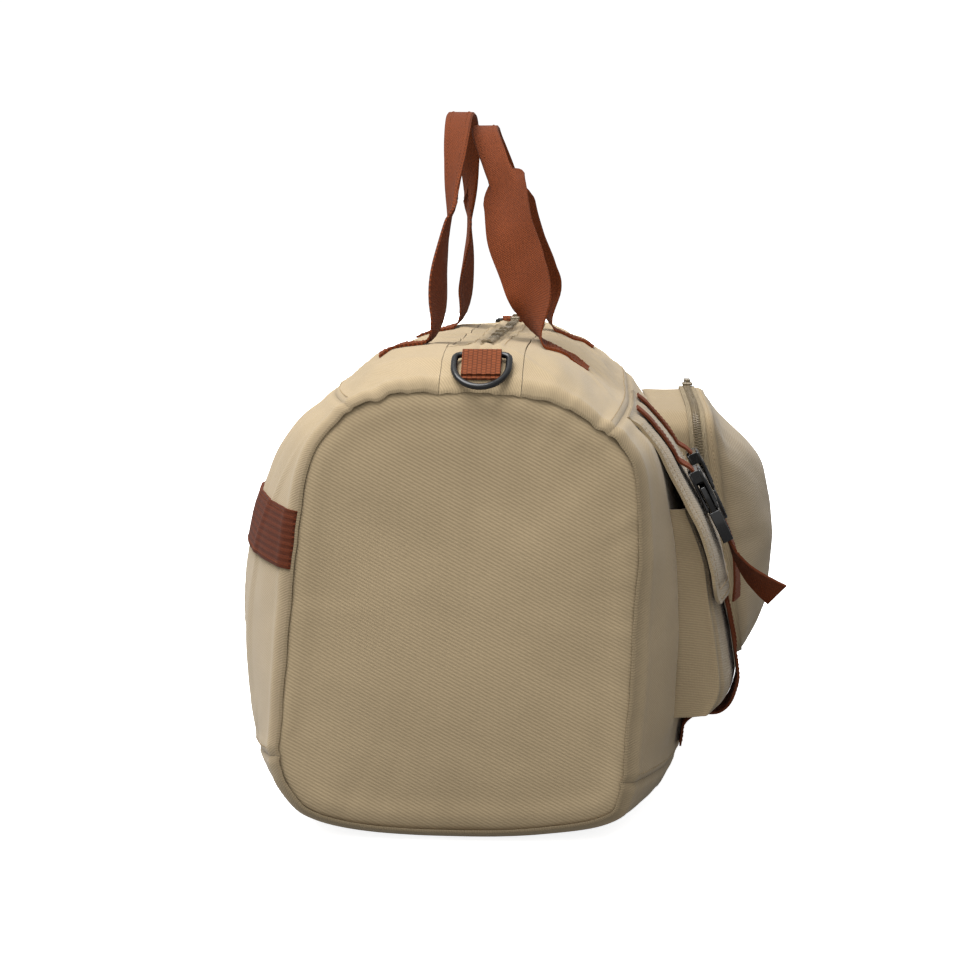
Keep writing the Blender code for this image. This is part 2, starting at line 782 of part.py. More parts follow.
# side-release buckles: local X runs down the strap, local Y across it, local Z outward
def buckle_frame(a):
    top = flap_line(0.2315, a, 0)
    low = flap_line(0.1840, a, 0)
    p, q = world(a, *top), world(a, *low)
    along = (q - p).normalized()
    out = Vector((-1, 0, 0)).cross(along).normalized()
    if out.y > 0:
        out = -out
    # clear of the flap's outward bow between the two points
    mid = world(a, *flap_line(0.207, a, 0))
    bow = max((mid - p).dot(out), 0.0)
    return p + out * (bow + GAP + 0.0008), along, out


BUCKLE_W, BUCKLE_T = 0.0320, 0.0090
SOCKET_L, PLUG_L = 0.0300, 0.0230


def socket(name, a):
    at, along, out = buckle_frame(a)
    body = block(
        name, (SOCKET_L, BUCKLE_W, BUCKLE_T), (SOCKET_L / 2, 0, BUCKLE_T / 2), BLACK, 0.0012
    )
    cut = []
    # the pocket that takes the plug's prongs, open downwards and at both sides
    cut.append(("mouth", (0.0230, BUCKLE_W + 0.01, 0.0054), (SOCKET_L - 0.0105, 0, BUCKLE_T / 2)))
    # the slot the webbing is sewn round
    cut.append(("slot", (0.0026, 0.0262, BUCKLE_T + 0.01), (0.0044, 0, BUCKLE_T / 2)))
    for word, size, where in cut:
        tool = block(f"{name}_{word}", size, where, BLACK, 0, cutters)
        boolean(body, tool)
        pose(tool, at, along, out)
    return pose(body, at, along, out)


def plug(name, a):
    at, along, out = buckle_frame(a)
    start = SOCKET_L + 0.0005
    body = block(
        name, (PLUG_L, BUCKLE_W, BUCKLE_T), (start + PLUG_L / 2, 0, BUCKLE_T / 2), BLACK, 0.0012
    )
    parts = [
        ("stem", (0.0190, 0.0060, 0.0036), (start - 0.0085, 0, BUCKLE_T / 2), "UNION"),
        ("arm_l", (0.0190, 0.0050, 0.0040), (start - 0.0085, -0.0125, BUCKLE_T / 2), "UNION"),
        ("arm_r", (0.0190, 0.0050, 0.0040), (start - 0.0085, 0.0125, BUCKLE_T / 2), "UNION"),
        ("slot_a", (0.0030, 0.0262, 0.02), (start + 0.0095, 0, BUCKLE_T / 2), "DIFFERENCE"),
        ("slot_b", (0.0030, 0.0262, 0.02), (start + 0.0170, 0, BUCKLE_T / 2), "DIFFERENCE"),
    ]
    for word, size, where, operation in parts:
        tool = block(f"{name}_{word}", size, where, BLACK, 0, cutters)
        boolean(body, tool, operation)
        pose(tool, at, along, out)
    return pose(body, at, along, out)


for word, a in zip(("left", "right"), STRAP_A):
    socket("buckle_socket_" + word, a)
    plug("buckle_plug_" + word, a)
    at, along, out = buckle_frame(a)
    end = at + along * (SOCKET_L + PLUG_L + 0.0010) + out * (BUCKLE_T * 0.55)
    u0, z0 = MID_Y - end.y, end.z
    if word == "left":
        points = [
            (u0, z0), (u0 + 0.0048, z0 - 0.0100), (u0 + 0.0110, z0 - 0.0190), (u0 + 0.0185, z0 - 0.0270),
            (u0 + 0.0265, z0 - 0.0335), (u0 + 0.0335, z0 - 0.0385),
        ]
        ribbon("strap_tail_" + word, points, a, skew=[0, -6, -16, -28, -40, -50])
    else:
        points = [
            (u0, z0), (u0 + 0.0045, z0 - 0.0110), (u0 + 0.0080, z0 - 0.0230), (u0 + 0.0100, z0 - 0.0360),
            (u0 + 0.0108, z0 - 0.0490), (u0 + 0.0105, z0 - 0.0600),
        ]
        ribbon("strap_tail_" + word, points, a, skew=[0, 3, 6, 9, 12, 14])


# ---------------------------------------------------------------- box pocket
def box_outline(x, y):
    """A place on the pocket's front, x and y from -1 to 1, its corners drawn in to round them."""
    pull_in = 1 - 0.075 * abs(x) ** 5 * abs(y) ** 5
    a = (BOX_A[0] + BOX_A[1]) / 2 + (BOX_A[1] - BOX_A[0]) / 2 * x * pull_in
    z = (BOX_Z[0] + BOX_Z[1]) / 2 + (BOX_Z[1] - BOX_Z[0]) / 2 * y * pull_in
    return a, z


def rim_u(z):
    """The flat plane where the two halves of the box pocket's side wall meet at the zip."""
    return 0.1575 + (0.256 - z) * 0.10


def seam_u(z):
    return rim_u(z) + 0.0135 + (0.256 - z) * 0.035


def box_edge(s):
    """Round the square, from the middle of its foot, against the clock seen from the front."""
    at = (s % 1.0) * 8
    if at <= 1:
        return at, -1
    if at <= 3:
        return 1, at - 2
    if at <= 5:
        return 4 - at, 1
    if at <= 7:
        return -1, 6 - at
    return at - 8, -1


def inset(x, y, by):
    a, z = box_outline(x, y)
    mid_a, mid_z = sum(BOX_A) / 2, sum(BOX_Z) / 2
    half_a, half_z = (BOX_A[1] - BOX_A[0]) / 2, (BOX_Z[1] - BOX_Z[0]) / 2
    return mid_a + (a - mid_a) * (1 - by / half_a), mid_z + (z - mid_z) * (1 - by / half_z)


def ring_place(s, t, w):
    a, z = inset(*box_edge(s), CLOTH * w)
    base = front_u(z, a) + 0.0007
    return world(a, base + (rim_u(z) - base) * t, z)


slab("zip_pocket_gusset", 48, 3, ring_place, CANVAS, closed=True)

DOOR_K = [-1.0, -0.997, -0.985, -0.950, -0.88, -0.70, -0.42, 0.0]
DOOR_K += [-v for v in DOOR_K[-2::-1]]
DOOR_H = [0.0, 0.6, 1.0] + [1.0] * (len(DOOR_K) - 6) + [1.0, 0.6, 0.0]


def door_place(s, t, w):
    x, y = spaced(DOOR_K, s), spaced(DOOR_K, t)
    k = min(spaced(DOOR_H, s), spaced(DOOR_H, t))
    thick = CLOTH if w > 0.5 else 0.0
    a, z = box_outline(x, y)
    if thick:
        a -= thick * smooth((abs(x) - 0.70) / 0.25) * (1 if x > 0 else -1)
        z -= thick * smooth((abs(y) - 0.70) / 0.25) * (1 if y > 0 else -1)
    rim = rim_u(z) + GAP
    bulge = (1 - abs(x) ** 2.6) * (1 - abs(y) ** 8)
    front = seam_u(z) + max(table(BOX_FRONT, z * 1000) / 1000 - seam_u(z), 0.0) * bulge
    u = rim + (front - rim) * k
    if thick:
        u = max(u - thick, rim)
    return world(a, u, z)


slab("zip_pocket_door", len(DOOR_K) - 1, len(DOOR_K) - 1, door_place, CANVAS)


def pocket_tape(name, low, high):
    """Half of the pocket's zip, round the top and both sides of the box."""

    def place(s, t, w):
        x, y = box_edge(0.165 + 0.67 * s)
        a, z = inset(x, y, -(GAP + 0.0005 + 0.0012 * (1 - w)))
        return world(a, rim_u(z) + low + (high - low) * t, z)

    return slab(name, 32, 1, place, ZIP)


pocket_tape("pocket_zip_inner", -0.0065, -0.0002)
pocket_tape("pocket_zip_outer", GAP + 0.0002, 0.0065)

top_z = BOX_Z[1] + GAP + 0.0017 + 0.0006
slider_at = world(POCKET_SLIDER_A, rim_u(BOX_Z[1]) + 0.0003, top_z)
slider("pocket_slider", slider_at, Vector((1, 0, 0)), Vector((0, 0, 1)))
pull(
    "pocket_pull",
    slider_at + Vector((0, 0, 0.0037)),
    Vector((1, 0, 0)),
    Vector((0, 0, 1)),
    0.0205,
)
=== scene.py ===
import math

import bmesh
import bpy
import numpy as np
from mathutils import Matrix, Vector, noise

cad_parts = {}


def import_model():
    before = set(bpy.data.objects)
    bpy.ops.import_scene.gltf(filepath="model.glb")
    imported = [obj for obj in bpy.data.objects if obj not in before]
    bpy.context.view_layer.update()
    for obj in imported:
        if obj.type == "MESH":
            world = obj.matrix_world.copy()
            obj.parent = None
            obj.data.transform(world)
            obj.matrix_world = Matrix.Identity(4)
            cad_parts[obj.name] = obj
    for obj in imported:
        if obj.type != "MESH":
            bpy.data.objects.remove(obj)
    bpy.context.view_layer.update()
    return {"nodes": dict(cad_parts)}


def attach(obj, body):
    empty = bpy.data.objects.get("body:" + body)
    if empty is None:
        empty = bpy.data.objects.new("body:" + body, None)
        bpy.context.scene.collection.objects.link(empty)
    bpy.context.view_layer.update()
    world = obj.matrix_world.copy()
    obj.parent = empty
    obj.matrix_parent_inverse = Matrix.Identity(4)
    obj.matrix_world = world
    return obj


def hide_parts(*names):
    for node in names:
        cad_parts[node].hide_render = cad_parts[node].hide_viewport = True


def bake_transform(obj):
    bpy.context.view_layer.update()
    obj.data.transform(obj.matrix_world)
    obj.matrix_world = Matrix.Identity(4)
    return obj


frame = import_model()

# ================================================================ camera
# end view of the -X end, from a little above, with the pocketed front at the right
camera_data = bpy.data.cameras.new("camera")
camera_data.lens = 76.4
camera_data.sensor_width = 36.0
camera = bpy.data.objects.new("camera", camera_data)
bpy.context.scene.collection.objects.link(camera)
forward = Vector((0.98859, 0.05741, -0.13925)).normalized()
right = forward.cross(Vector((0, 0, 1))).normalized()
above = right.cross(forward)
camera.matrix_world = Matrix.Translation((-1.575, -0.0656, 0.416)) @ Matrix(
    (right, above, -forward)
).transposed().to_4x4()
bpy.context.scene.camera = camera

# ================================================================ the bag's dimensions, as in the CAD
LENGTH = 0.550
MID_Y = 0.0274
CLOTH = 0.0018
WEB = 0.0016
WIDE_WEB = 0.038
NARROW_WEB = 0.025
GAP = 0.0004
SIDE_RUN = 0.20
TOP_RUN = 0.065
TOP_SAG = 0.010
ZIP_U = 0.011
LIP = 0.026
MOUTH = (0.0685, 0.4815)
HANDLE_A = (0.130, 0.400)
HANDLE_U = (-0.027, 0.041)
FLAP_A = (0.050, 0.250)
POUCH_A = (0.055, 0.245)
STRAP_A = (0.100, 0.200)
BOX_A = (0.270, 0.500)
BOX_Z = (0.065, 0.256)
BAND_Z = (0.180, 0.218)
RING_A = {-1: 0.0268, 1: 0.0290}
RING_OFF = 0.0042
PROFILES = {
    0: ([(11, 296), (60, 290), (95, 272)], [(11, 319.5), (60, 312), (107, 279)]),
    1: (
        [(95, 272), (112, 250), (116, 214), (112, 147), (108, 80), (105, 42)],
        [(107, 279), (131, 245), (143, 204), (149, 164), (152, 122), (150, 76), (144, 35)],
    ),
    2: (
        [(105, 42), (98, 18), (50, 6), (-3, 3), (-65, 6), (-104, 17), (-119, 37), (-125, 57)],
        [(144, 35), (131, 14), (105, 2), (50, 0), (0, 0), (-60, 0), (-110, 2), (-140, 14), (-157, 38)],
    ),
    3: (
        [(-125, 57), (-120, 100), (-113, 168), (-106, 224), (-98, 262), (-74, 288)],
        [(-157, 38), (-164, 74), (-167, 127), (-160, 189), (-140, 240), (-100, 286)],
    ),
    4: ([(-74, 288), (-45, 297), (11, 296)], [(-100, 286), (-55, 313), (11, 319.5)]),
}
PANEL_RUN = (0.110, 0.245, 0.310, 0.245, 0.118)  # how far it is across each panel
FILL = [(0, 3.8), (1, 3.2), (2, 3.0), (2.5, 2.6), (3, 2.2), (4, 2.2), (4.5, 3.0), (5, 3.8)]
FLAP_OFF = [
    (151, 29.5, 25), (177, 27, 22), (192, 23, 19), (208.5, 18, 16), (218.5, 13, 13.5),
    (235, 7.5, 9), (254.5, 5.5, 6.5), (278, 4.0, 4.0),
]
POUCH_OFF = [
    (72, 24, 23), (78, 30, 28), (91, 34, 32), (101, 32.5, 30), (117, 29.5, 26),
    (151, 24, 19.5), (177, 21.5, 16.5), (192, 17.5, 13.5), (213, 10.5, 9.5),
]
BOX_FRONT = [
    (65, 196), (70, 207), (87, 217.5), (115, 222), (138, 222.5), (161, 221.5), (188, 217.5),
    (208, 212), (220, 204), (231, 194), (240, 182), (256, 171),
]


def clamp(t, low=0.0, high=1.0):
    return min(max(t, low), high)


def smooth(t):
    t = clamp(t)
    return t * t * (3 - 2 * t)


def table(rows, x, column=1):
    if x <= rows[0][0]:
        return rows[0][column]
    for low, high in zip(rows, rows[1:]):
        if x <= high[0]:
            k = (x - low[0]) / (high[0] - low[0])
            return low[column] + k * (high[column] - low[column])
    return rows[-1][column]


def soft_table(rows, x, column=1, width=4.0):
    """The same, rounded off where two straight stretches meet."""
    return sum(table(rows, x + d * width, column) for d in (-1.5, -0.75, 0, 0.75, 1.5)) / 5


def spline(points, t):
    lengths = [0.0]
    for p, q in zip(points, points[1:]):
        lengths.append(lengths[-1] + math.dist(p, q))
    at = clamp(t) * lengths[-1]
    i = 0
    while i < len(points) - 2 and at > lengths[i + 1]:
        i += 1

    def tangent(k):
        low, high = max(k - 1, 0), min(k + 1, len(points) - 1)
        span = lengths[high] - lengths[low]
        return [(b - a) / span for a, b in zip(points[low], points[high])]

    h = lengths[i + 1] - lengths[i]
    x = (at - lengths[i]) / h
    a, b = 2 * x**3 - 3 * x**2 + 1, x**3 - 2 * x**2 + x
    c, d = 3 * x**2 - 2 * x**3, x**3 - x**2
    m, n = tangent(i), tangent(i + 1)
    return [
        a * points[i][k] + b * h * m[k] + c * points[i + 1][k] + d * h * n[k]
        for k in range(len(points[0]))
    ]


def world(a, u, z):
    return Vector((a - LENGTH / 2, MID_Y - u, z))


def filling(T, a):
    near = min(a, LENGTH - a)
    side = 1 - (1 - clamp(near / SIDE_RUN)) ** table(FILL, T)
    top = 1 - (1 - clamp(near / TOP_RUN)) ** 2.2
    away = T if T < 2.5 else 5 - T
    return top + (side - top) * smooth(away)


SECTION = {}


def section(T):
    """(end point, middle point) of the section's two loops at T, kept so that each is worked out once."""
    key = round(T % 5.0, 5)
    if key not in SECTION:
        t = key % 5.0
        panel = min(int(t), 4)
        SECTION[key] = (spline(PROFILES[panel][0], t - panel), spline(PROFILES[panel][1], t - panel))
    return SECTION[key]


def loop(T, a):
    T = T % 5.0
    end, mid = section(T)
    f = filling(T, a)
    u = end[0] + (mid[0] - end[0]) * f
    z = end[1] + (max(mid[1], 0.0) - end[1]) * f
    z -= 1000 * TOP_SAG * clamp((a - 0.065) / 0.425) * (mid[1] / 319.5) ** 2 * f
    return u / 1000, max(z, 0.0) / 1000


def outward(T, a):
    h = 0.05
    p, q = loop(T - h, a), loop(T + h, a)
    return Vector((-(q[1] - p[1]), q[0] - p[0])).normalized()


def n2(x, y, seed=0.0):
    return noise.noise(Vector((x, y, seed)))


def bell(d, width):
    return math.exp(-((d / width) ** 2))


def wave(T, a):
    """How far the cloth stands off its smooth shape: seams drawn in, gathers beside them, slack in the middle."""
    t = T % 5.0
    panel = min(int(t), 4)
    run = PANEL_RUN[panel]
    d_low, d_high = (t - panel) * run, (panel + 1 - t) * run
    if panel == 0:
        d_low = 1.0
    if panel == 4:
        d_high = 1.0
    d_side = min(d_low, d_high)
    d_end = min(a, LENGTH - a)
    along = T * 0.205
    key = 10.0 * (panel if d_low < d_high else panel + 1)
    off = 0.0
    # seams running along the bag
    off -= 0.0015 * bell(d_side, 0.0022)
    off += 0.0007 * bell(d_side - 0.0062, 0.0036)
    off += 0.0011 * n2(a / 0.016, key) * math.exp(-d_side / 0.011) * smooth(d_side / 0.003)
    off += 0.0012 * n2(a / 0.045, key + d_side / 0.06) * math.exp(-d_side / 0.035)
    # seams at the ends
    gather = 1.0 + 0.9 * smooth((1.6 - min(t, 5 - t)) / 0.8)
    off += 0.0008 * bell(d_end - 0.010, 0.005)
    off += 0.0009 * gather * n2(along / 0.014, 3.3 + a / 0.09) * math.exp(-d_end / 0.016)
    off += 0.0013 * gather * n2(along / 0.034, 7.1 + a / 0.07) * math.exp(-d_end / 0.050)
    # slack across the panel
    wide = smooth(d_side / 0.03) * smooth(d_end / 0.05)
    off += 0.0030 * wide * n2(along / 0.075, a / 0.13, 4.2)
    off += 0.0013 * wide * n2(along / 0.030 + a / 0.06, a / 0.055 - along / 0.09, 8.4)
    # long soft creases running up towards the handles
    ridge = 1 - abs(n2(a / 0.050 + along / 0.11, along / 0.13, 2.7))
    off += 0.0016 * wide * max(ridge - 0.80, 0.0) / 0.20
    under = smooth((t - 2.05) / 0.15) * smooth((2.95 - t) / 0.15)
    return off * (1 - 0.85 * under)


def skin(T, a, off=0.0, cloth=1.0):
    u, z = loop(T, a)
    n = outward(T, a)
    off += cloth * wave(T, a)
    p = world(a, u + n.x * off, z + n.y * off)
    p.z = max(p.z, 0.0)
    return p


def top_T(u, a):
    low, high = -1.0, 1.0
    for _ in range(22):
        mid = (low + high) / 2
        if loop(mid, a)[0] < u:
            low = mid
        else:
            high = mid
    return (low + high) / 2


def side_T(z, a, low, high):
    rising = loop(high, a)[1] > loop(low, a)[1]
    for _ in range(22):
        mid = (low + high) / 2
        if (loop(mid, a)[1] < z) == rising:
            low = mid
        else:
            high = mid
    return (low + high) / 2


FRONT = {}


def front_u(z, a):
    """u of the bag's front at height z, without its creases, read from a fine grid."""
    def node(i, j):
        if (i, j) not in FRONT:
            zz, aa = 0.03 + i * 0.004, j * 0.01
            FRONT[i, j] = loop(side_T(zz, aa, 1.0, 2.3), aa)[0]
        return FRONT[i, j]

    x, y = (clamp(z, 0.03, 0.277) - 0.03) / 0.004, clamp(a, 0.01, 0.54) / 0.01
    i, j = int(x), int(y)
    fx, fy = x - i, y - j
    low = node(i, j) * (1 - fx) + node(i + 1, j) * fx
    high = node(i, j + 1) * (1 - fx) + node(i + 1, j + 1) * fx
    return low * (1 - fy) + high * fy


def on_top(a, u, off, cloth=1.0):
    return skin(top_T(u, a), a, off, cloth)


# ================================================================ materials
def srgb(r, g, b):
    def one(c):
        c /= 255
        return c / 12.92 if c <= 0.04045 else ((c + 0.055) / 1.055) ** 2.4

    return (one(r), one(g), one(b))


class Nodes:
    """Short helper for building a node tree."""

    def __init__(self, name):
        self.mat = bpy.data.materials.new(name)
        self.mat.use_nodes = True
        self.tree = self.mat.node_tree
        self.bsdf = self.tree.nodes["Principled BSDF"]

    def add(self, kind, **values):
        made = self.tree.nodes.new(kind)
        for key, value in values.items():
            if hasattr(made, key) and not key[0].isupper():
                setattr(made, key, value)
            else:
                self.put(made.inputs[key.replace("_", " ")], value)
        return made

    def put(self, socket, value):
        if hasattr(value, "is_output") or isinstance(value, bpy.types.NodeSocket):
            self.tree.links.new(value, socket)
        else:
            socket.default_value = value

    def math(self, operation, a, b=None, c=None):
        made = self.tree.nodes.new("ShaderNodeMath")
        made.operation = operation
        for socket, value in zip(made.inputs, (a, b, c)):
            if value is not None:
                self.put(socket, value)
        return made.outputs[0]

    def mix(self, factor, a, b, blend="MIX"):
        made = self.tree.nodes.new("ShaderNodeMix")
        made.data_type = "RGBA"
        made.blend_type = blend
        self.put(made.inputs["Factor"], factor)
        self.put(made.inputs["A"], a)
        self.put(made.inputs["B"], b)
        return made.outputs["Result"]

    def ramp(self, value, stops):
        made = self.tree.nodes.new("ShaderNodeValToRGB")
        self.put(made.inputs[0], value)
        ramp = made.color_ramp
        while len(ramp.elements) < len(stops):
            ramp.elements.new(0.5)
        for element, (at, colour) in zip(ramp.elements, stops):
            element.position = at
            element.color = (*colour, 1)
        return made.outputs[0]

    def stripes(self, vector, angle, period, distortion=0.0):
        """Soft stripes across a direction in the cloth's own plane, 0 to 1."""
        turned = self.add("ShaderNodeMapping", vector_type="POINT")
        self.put(turned.inputs["Vector"], vector)
        turned.inputs["Rotation"].default_value = (0, 0, math.radians(angle))
        made = self.add("ShaderNodeTexWave", wave_type="BANDS", bands_direction="X", wave_profile="SIN")
        self.put(made.inputs["Vector"], turned.outputs[0])
        made.inputs["Scale"].default_value = math.tau / (20 * period)
        made.inputs["Distortion"].default_value = distortion
        made.inputs["Detail"].default_value = 1.0
        made.inputs["Detail Scale"].default_value = 0.6
        return made.outputs["Fac"]

    def noise(self, vector, scale, detail=3.0, rough=0.5):
        made = self.add("ShaderNodeTexNoise")
        self.put(made.inputs["Vector"], vector)
        made.inputs["Scale"].default_value = scale
        made.inputs["Detail"].default_value = detail
        made.inputs["Roughness"].default_value = rough
        return made.outputs["Fac"]

    def bump(self, height, distance, strength=1.0, normal=None):
        made = self.add("ShaderNodeBump")
        made.inputs["Strength"].default_value = strength
        made.inputs["Distance"].default_value = distance
        self.put(made.inputs["Height"], height)
        if normal is not None:
            self.put(made.inputs["Normal"], normal)
        return made.outputs[0]


def cloth_uv(n):
    made = n.add("ShaderNodeUVMap")
    made.uv_map = "cloth"
    return made.outputs[0]


def canvas(name, shade=1.0, lean=0, rib=0.00165):
    """Cotton twill: fine diagonal ribs crossed by single threads, with a slubby, faintly mottled colour."""
    n = Nodes(name)
    uv = cloth_uv(n)
    ribs = n.stripes(uv, 62 + lean, rib, 0.5)
    threads = n.stripes(uv, 0, 0.00075, 0.3)
    slub = n.noise(uv, 420, 2.0)
    patches = n.noise(uv, 9.0, 5.0, 0.6)
    fuzz = n.noise(uv, 1600, 2.0)
    base = [c * shade for c in CANVAS_RGB]
    dark = [c * 0.80 for c in base]
    light = [min(c * 1.10, 1) for c in base]
    weave = n.math("MULTIPLY_ADD", ribs, 0.55, n.math("MULTIPLY", threads, 0.25))
    weave = n.math("ADD", weave, n.math("MULTIPLY", slub, 0.30))
    colour = n.ramp(weave, [(0.10, dark), (0.95, light)])
    tone = n.ramp(patches, [(0.30, (0.90, 0.895, 0.885)), (0.70, (1.04, 1.04, 1.045))])
    colour = n.mix(1.0, colour, tone, "MULTIPLY")
    # painted shade and dirt: the per-vertex seam mask darkens the cloth towards 45% of its colour in the seams'
    # valleys and where the pockets meet the bag
    fold = n.add("ShaderNodeAttribute")
    fold.attribute_name = "seam"
    colour = n.mix(n.math("MULTIPLY", fold.outputs["Fac"], 0.55), colour, (*[c * 0.45 for c in base], 1))
    n.put(n.bsdf.inputs["Base Color"], colour)
    n.bsdf.inputs["Roughness"].default_value = 0.92
    n.bsdf.inputs["Specular IOR Level"].default_value = 0.16
    n.bsdf.inputs["Sheen Weight"].default_value = 0.20
    n.bsdf.inputs["Sheen Roughness"].default_value = 0.5
    height = n.math("ADD", n.math("MULTIPLY", ribs, 0.8), n.math("MULTIPLY", threads, 0.35))
    height = n.math("ADD", height, n.math("MULTIPLY", fuzz, 0.25))
    first = n.bump(n.noise(uv, 55, 3.0), 0.0006, 0.35)
    n.put(n.bsdf.inputs["Normal"], n.bump(height, 0.00016, 0.8, first))
    return n.mat


def webbing(name, rgb, across=0.0012, row=0.00155, ribs=0.0, shade=1.0):
    """Woven webbing: rows of short floats staggered like bricks, with a lengthwise rib if it has one."""
    n = Nodes(name)
    uv = cloth_uv(n)
    brick = n.add("ShaderNodeTexBrick")
    brick.offset = 0.5
    n.put(brick.inputs["Vector"], uv)
    brick.inputs["Scale"].default_value = 1.0
    brick.inputs["Mortar Size"].default_value = across * 0.22
    brick.inputs["Mortar Smooth"].default_value = 1.0
    brick.inputs["Brick Width"].default_value = across
    brick.inputs["Row Height"].default_value = row
    brick.inputs["Color1"].default_value = (*[c * 1.10 * shade for c in rgb], 1)
    brick.inputs["Color2"].default_value = (*[c * 0.93 * shade for c in rgb], 1)
    brick.inputs["Mortar"].default_value = (*[c * 0.50 * shade for c in rgb], 1)
    fuzz = n.noise(uv, 1300, 2.0)
    patches = n.noise(uv, 22.0, 4.0)
    tone = n.ramp(patches, [(0.30, (0.86, 0.85, 0.84)), (0.72, (1.08, 1.08, 1.08))])
    colour = n.mix(1.0, brick.outputs["Color"], tone, "MULTIPLY")
    height = n.math("SUBTRACT", 1.0, brick.outputs["Fac"])
    if ribs:
        long_ribs = n.stripes(uv, 90, ribs, 0.0)
        colour = n.mix(n.math("MULTIPLY", n.math("SUBTRACT", 1.0, long_ribs), 0.45), colour, (*[c * 0.42 * shade for c in rgb], 1))
        height = n.math("ADD", n.math("MULTIPLY", height, 0.45), n.math("MULTIPLY", long_ribs, 1.3))
    n.put(n.bsdf.inputs["Base Color"], colour)
    n.bsdf.inputs["Roughness"].default_value = 0.82
    n.bsdf.inputs["Specular IOR Level"].default_value = 0.20
    n.bsdf.inputs["Sheen Weight"].default_value = 0.03
    height = n.math("ADD", height, n.math("MULTIPLY", fuzz, 0.30))
    n.put(n.bsdf.inputs["Normal"], n.bump(height, 0.00030, 0.85))
    return n.mat


def plain(name, rgb, rough, metal=0.0, specular=0.5, coat=0.0, grain=0.0, grain_scale=900.0):
    """Moulded plastic or enamelled metal, with a faint unevenness."""
    n = Nodes(name)
    spot = n.add("ShaderNodeTexCoord").outputs["Object"]
    tone = n.ramp(n.noise(spot, 60.0, 4.0), [(0.3, [c * 0.82 for c in rgb]), (0.7, [min(c * 1.12, 1) for c in rgb])])
    n.put(n.bsdf.inputs["Base Color"], tone)
    n.bsdf.inputs["Metallic"].default_value = metal
    n.bsdf.inputs["Specular IOR Level"].default_value = specular
    n.bsdf.inputs["Coat Weight"].default_value = coat
    n.bsdf.inputs["Coat Roughness"].default_value = 0.12
    n.put(n.bsdf.inputs["Roughness"], n.math("MULTIPLY_ADD", n.noise(spot, 140.0, 3.0), 0.12, rough - 0.06))
    if grain:
        n.put(n.bsdf.inputs["Normal"], n.bump(n.noise(spot, grain_scale, 2.0), grain, 0.5))
    return n.mat


CANVAS_RGB = (0.400, 0.306, 0.184)
RUST_RGB = (0.190, 0.040, 0.0070)
BAND_RGB = (0.124, 0.024, 0.0050)
TAB_RGB = (0.195, 0.050, 0.015)
M_CANVAS = canvas("canvas_body", rib=0.0021)
M_SIDE = canvas("canvas_long_panels", 1.0, 56)
# painted shade: the pockets are the same canvas as the body, darkened to 80% for the dimmer light on their side of the
# bag
M_POCKET_PAINTED_SHADE = canvas("canvas_pockets_painted_shade", 0.80, 20)
M_WEB = webbing("handle_webbing", RUST_RGB, 0.0013, 0.00150)
M_STRAP = webbing("strap_webbing", RUST_RGB, 0.0014, 0.00180, shade=0.95)
M_BAND = webbing("band_webbing", BAND_RGB, 0.0013, 0.00150, ribs=0.0046)
M_TAB = webbing("tab_webbing", TAB_RGB, 0.0024, 0.0030)
M_THREAD = plain("khaki_thread", (0.33, 0.245, 0.145), 0.85, specular=0.2)
M_RUST_THREAD = plain("rust_thread", (0.16, 0.040, 0.012), 0.8, specular=0.2)
M_BLACK = plain("black_plastic", (0.0060, 0.0060, 0.0062), 0.26, specular=0.30, coat=0.25, grain=0.00002)
M_ZIPTAPE = webbing("zip_tape", (0.330, 0.262, 0.165), 0.0009, 0.0011)
M_TEETH = plain("zip_teeth", (0.235, 0.185, 0.115), 0.42, specular=0.4)
M_ZIPMETAL = plain("zip_slider_enamel", (0.16, 0.125, 0.078), 0.34, metal=0.35, specular=0.5, coat=0.2)
M_BOARD = plain("stiffener_board", (0.035, 0.034, 0.033), 0.75, grain=0.00006, grain_scale=500.0)
M_LINING = canvas("lining", 0.72, 0)


# ================================================================ meshes
def finish_mesh(name, vertices, faces, material, uv=None, seam=None, smooth_angle=50.0):
    mesh = bpy.data.meshes.new(name)
    mesh.from_pydata([tuple(map(float, v)) for v in vertices], [], faces)
    mesh.materials.append(material)
    if uv is not None:
        layer = mesh.uv_layers.new(name="cloth")
        index = np.empty(len(mesh.loops), np.int32)
        mesh.loops.foreach_get("vertex_index", index)
        layer.data.foreach_set("uv", np.asarray(uv, np.float32)[index].ravel())
    if seam is not None:
        mesh.attributes.new("seam", "FLOAT", "POINT").data.foreach_set("value", np.asarray(seam, np.float32))
    mesh.shade_smooth()
    mesh.set_sharp_from_angle(angle=math.radians(smooth_angle))
    obj = bpy.data.objects.new(name, mesh)
    bpy.context.scene.collection.objects.link(obj)
    return obj


def settle(obj, body, nodes=()):
    if body:
        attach(obj, body)
    if nodes:
        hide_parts(*nodes)
    return obj


def shell(name, ns, nt, place, material, body, nodes=(), closed=False, seam=None, turn_uv=False, rounds=0, angle=50.0, planar=None):
    """A sheet with thickness and its own cloth coordinates in metres: place(s, t, w) gives its outside at w = 0 and its inside at w = 1."""
    outer = np.array([[place(i / ns, j / nt, 0.0) for j in range(nt + 1)] for i in range(ns + 1)])
    inner = np.array([[place(i / ns, j / nt, 1.0) for j in range(nt + 1)] for i in range(ns + 1)])
    for _ in range(rounds):
        for grid in (outer, inner):
            mid = grid.copy()
            mid[1:-1, 1:-1] = (
                grid[1:-1, 1:-1] * 2 + grid[:-2, 1:-1] + grid[2:, 1:-1] + grid[1:-1, :-2] + grid[1:-1, 2:]
            ) / 6
            grid[:] = mid
    return shell_from(name, outer, inner, material, body, nodes, closed, seam, turn_uv, angle, planar)


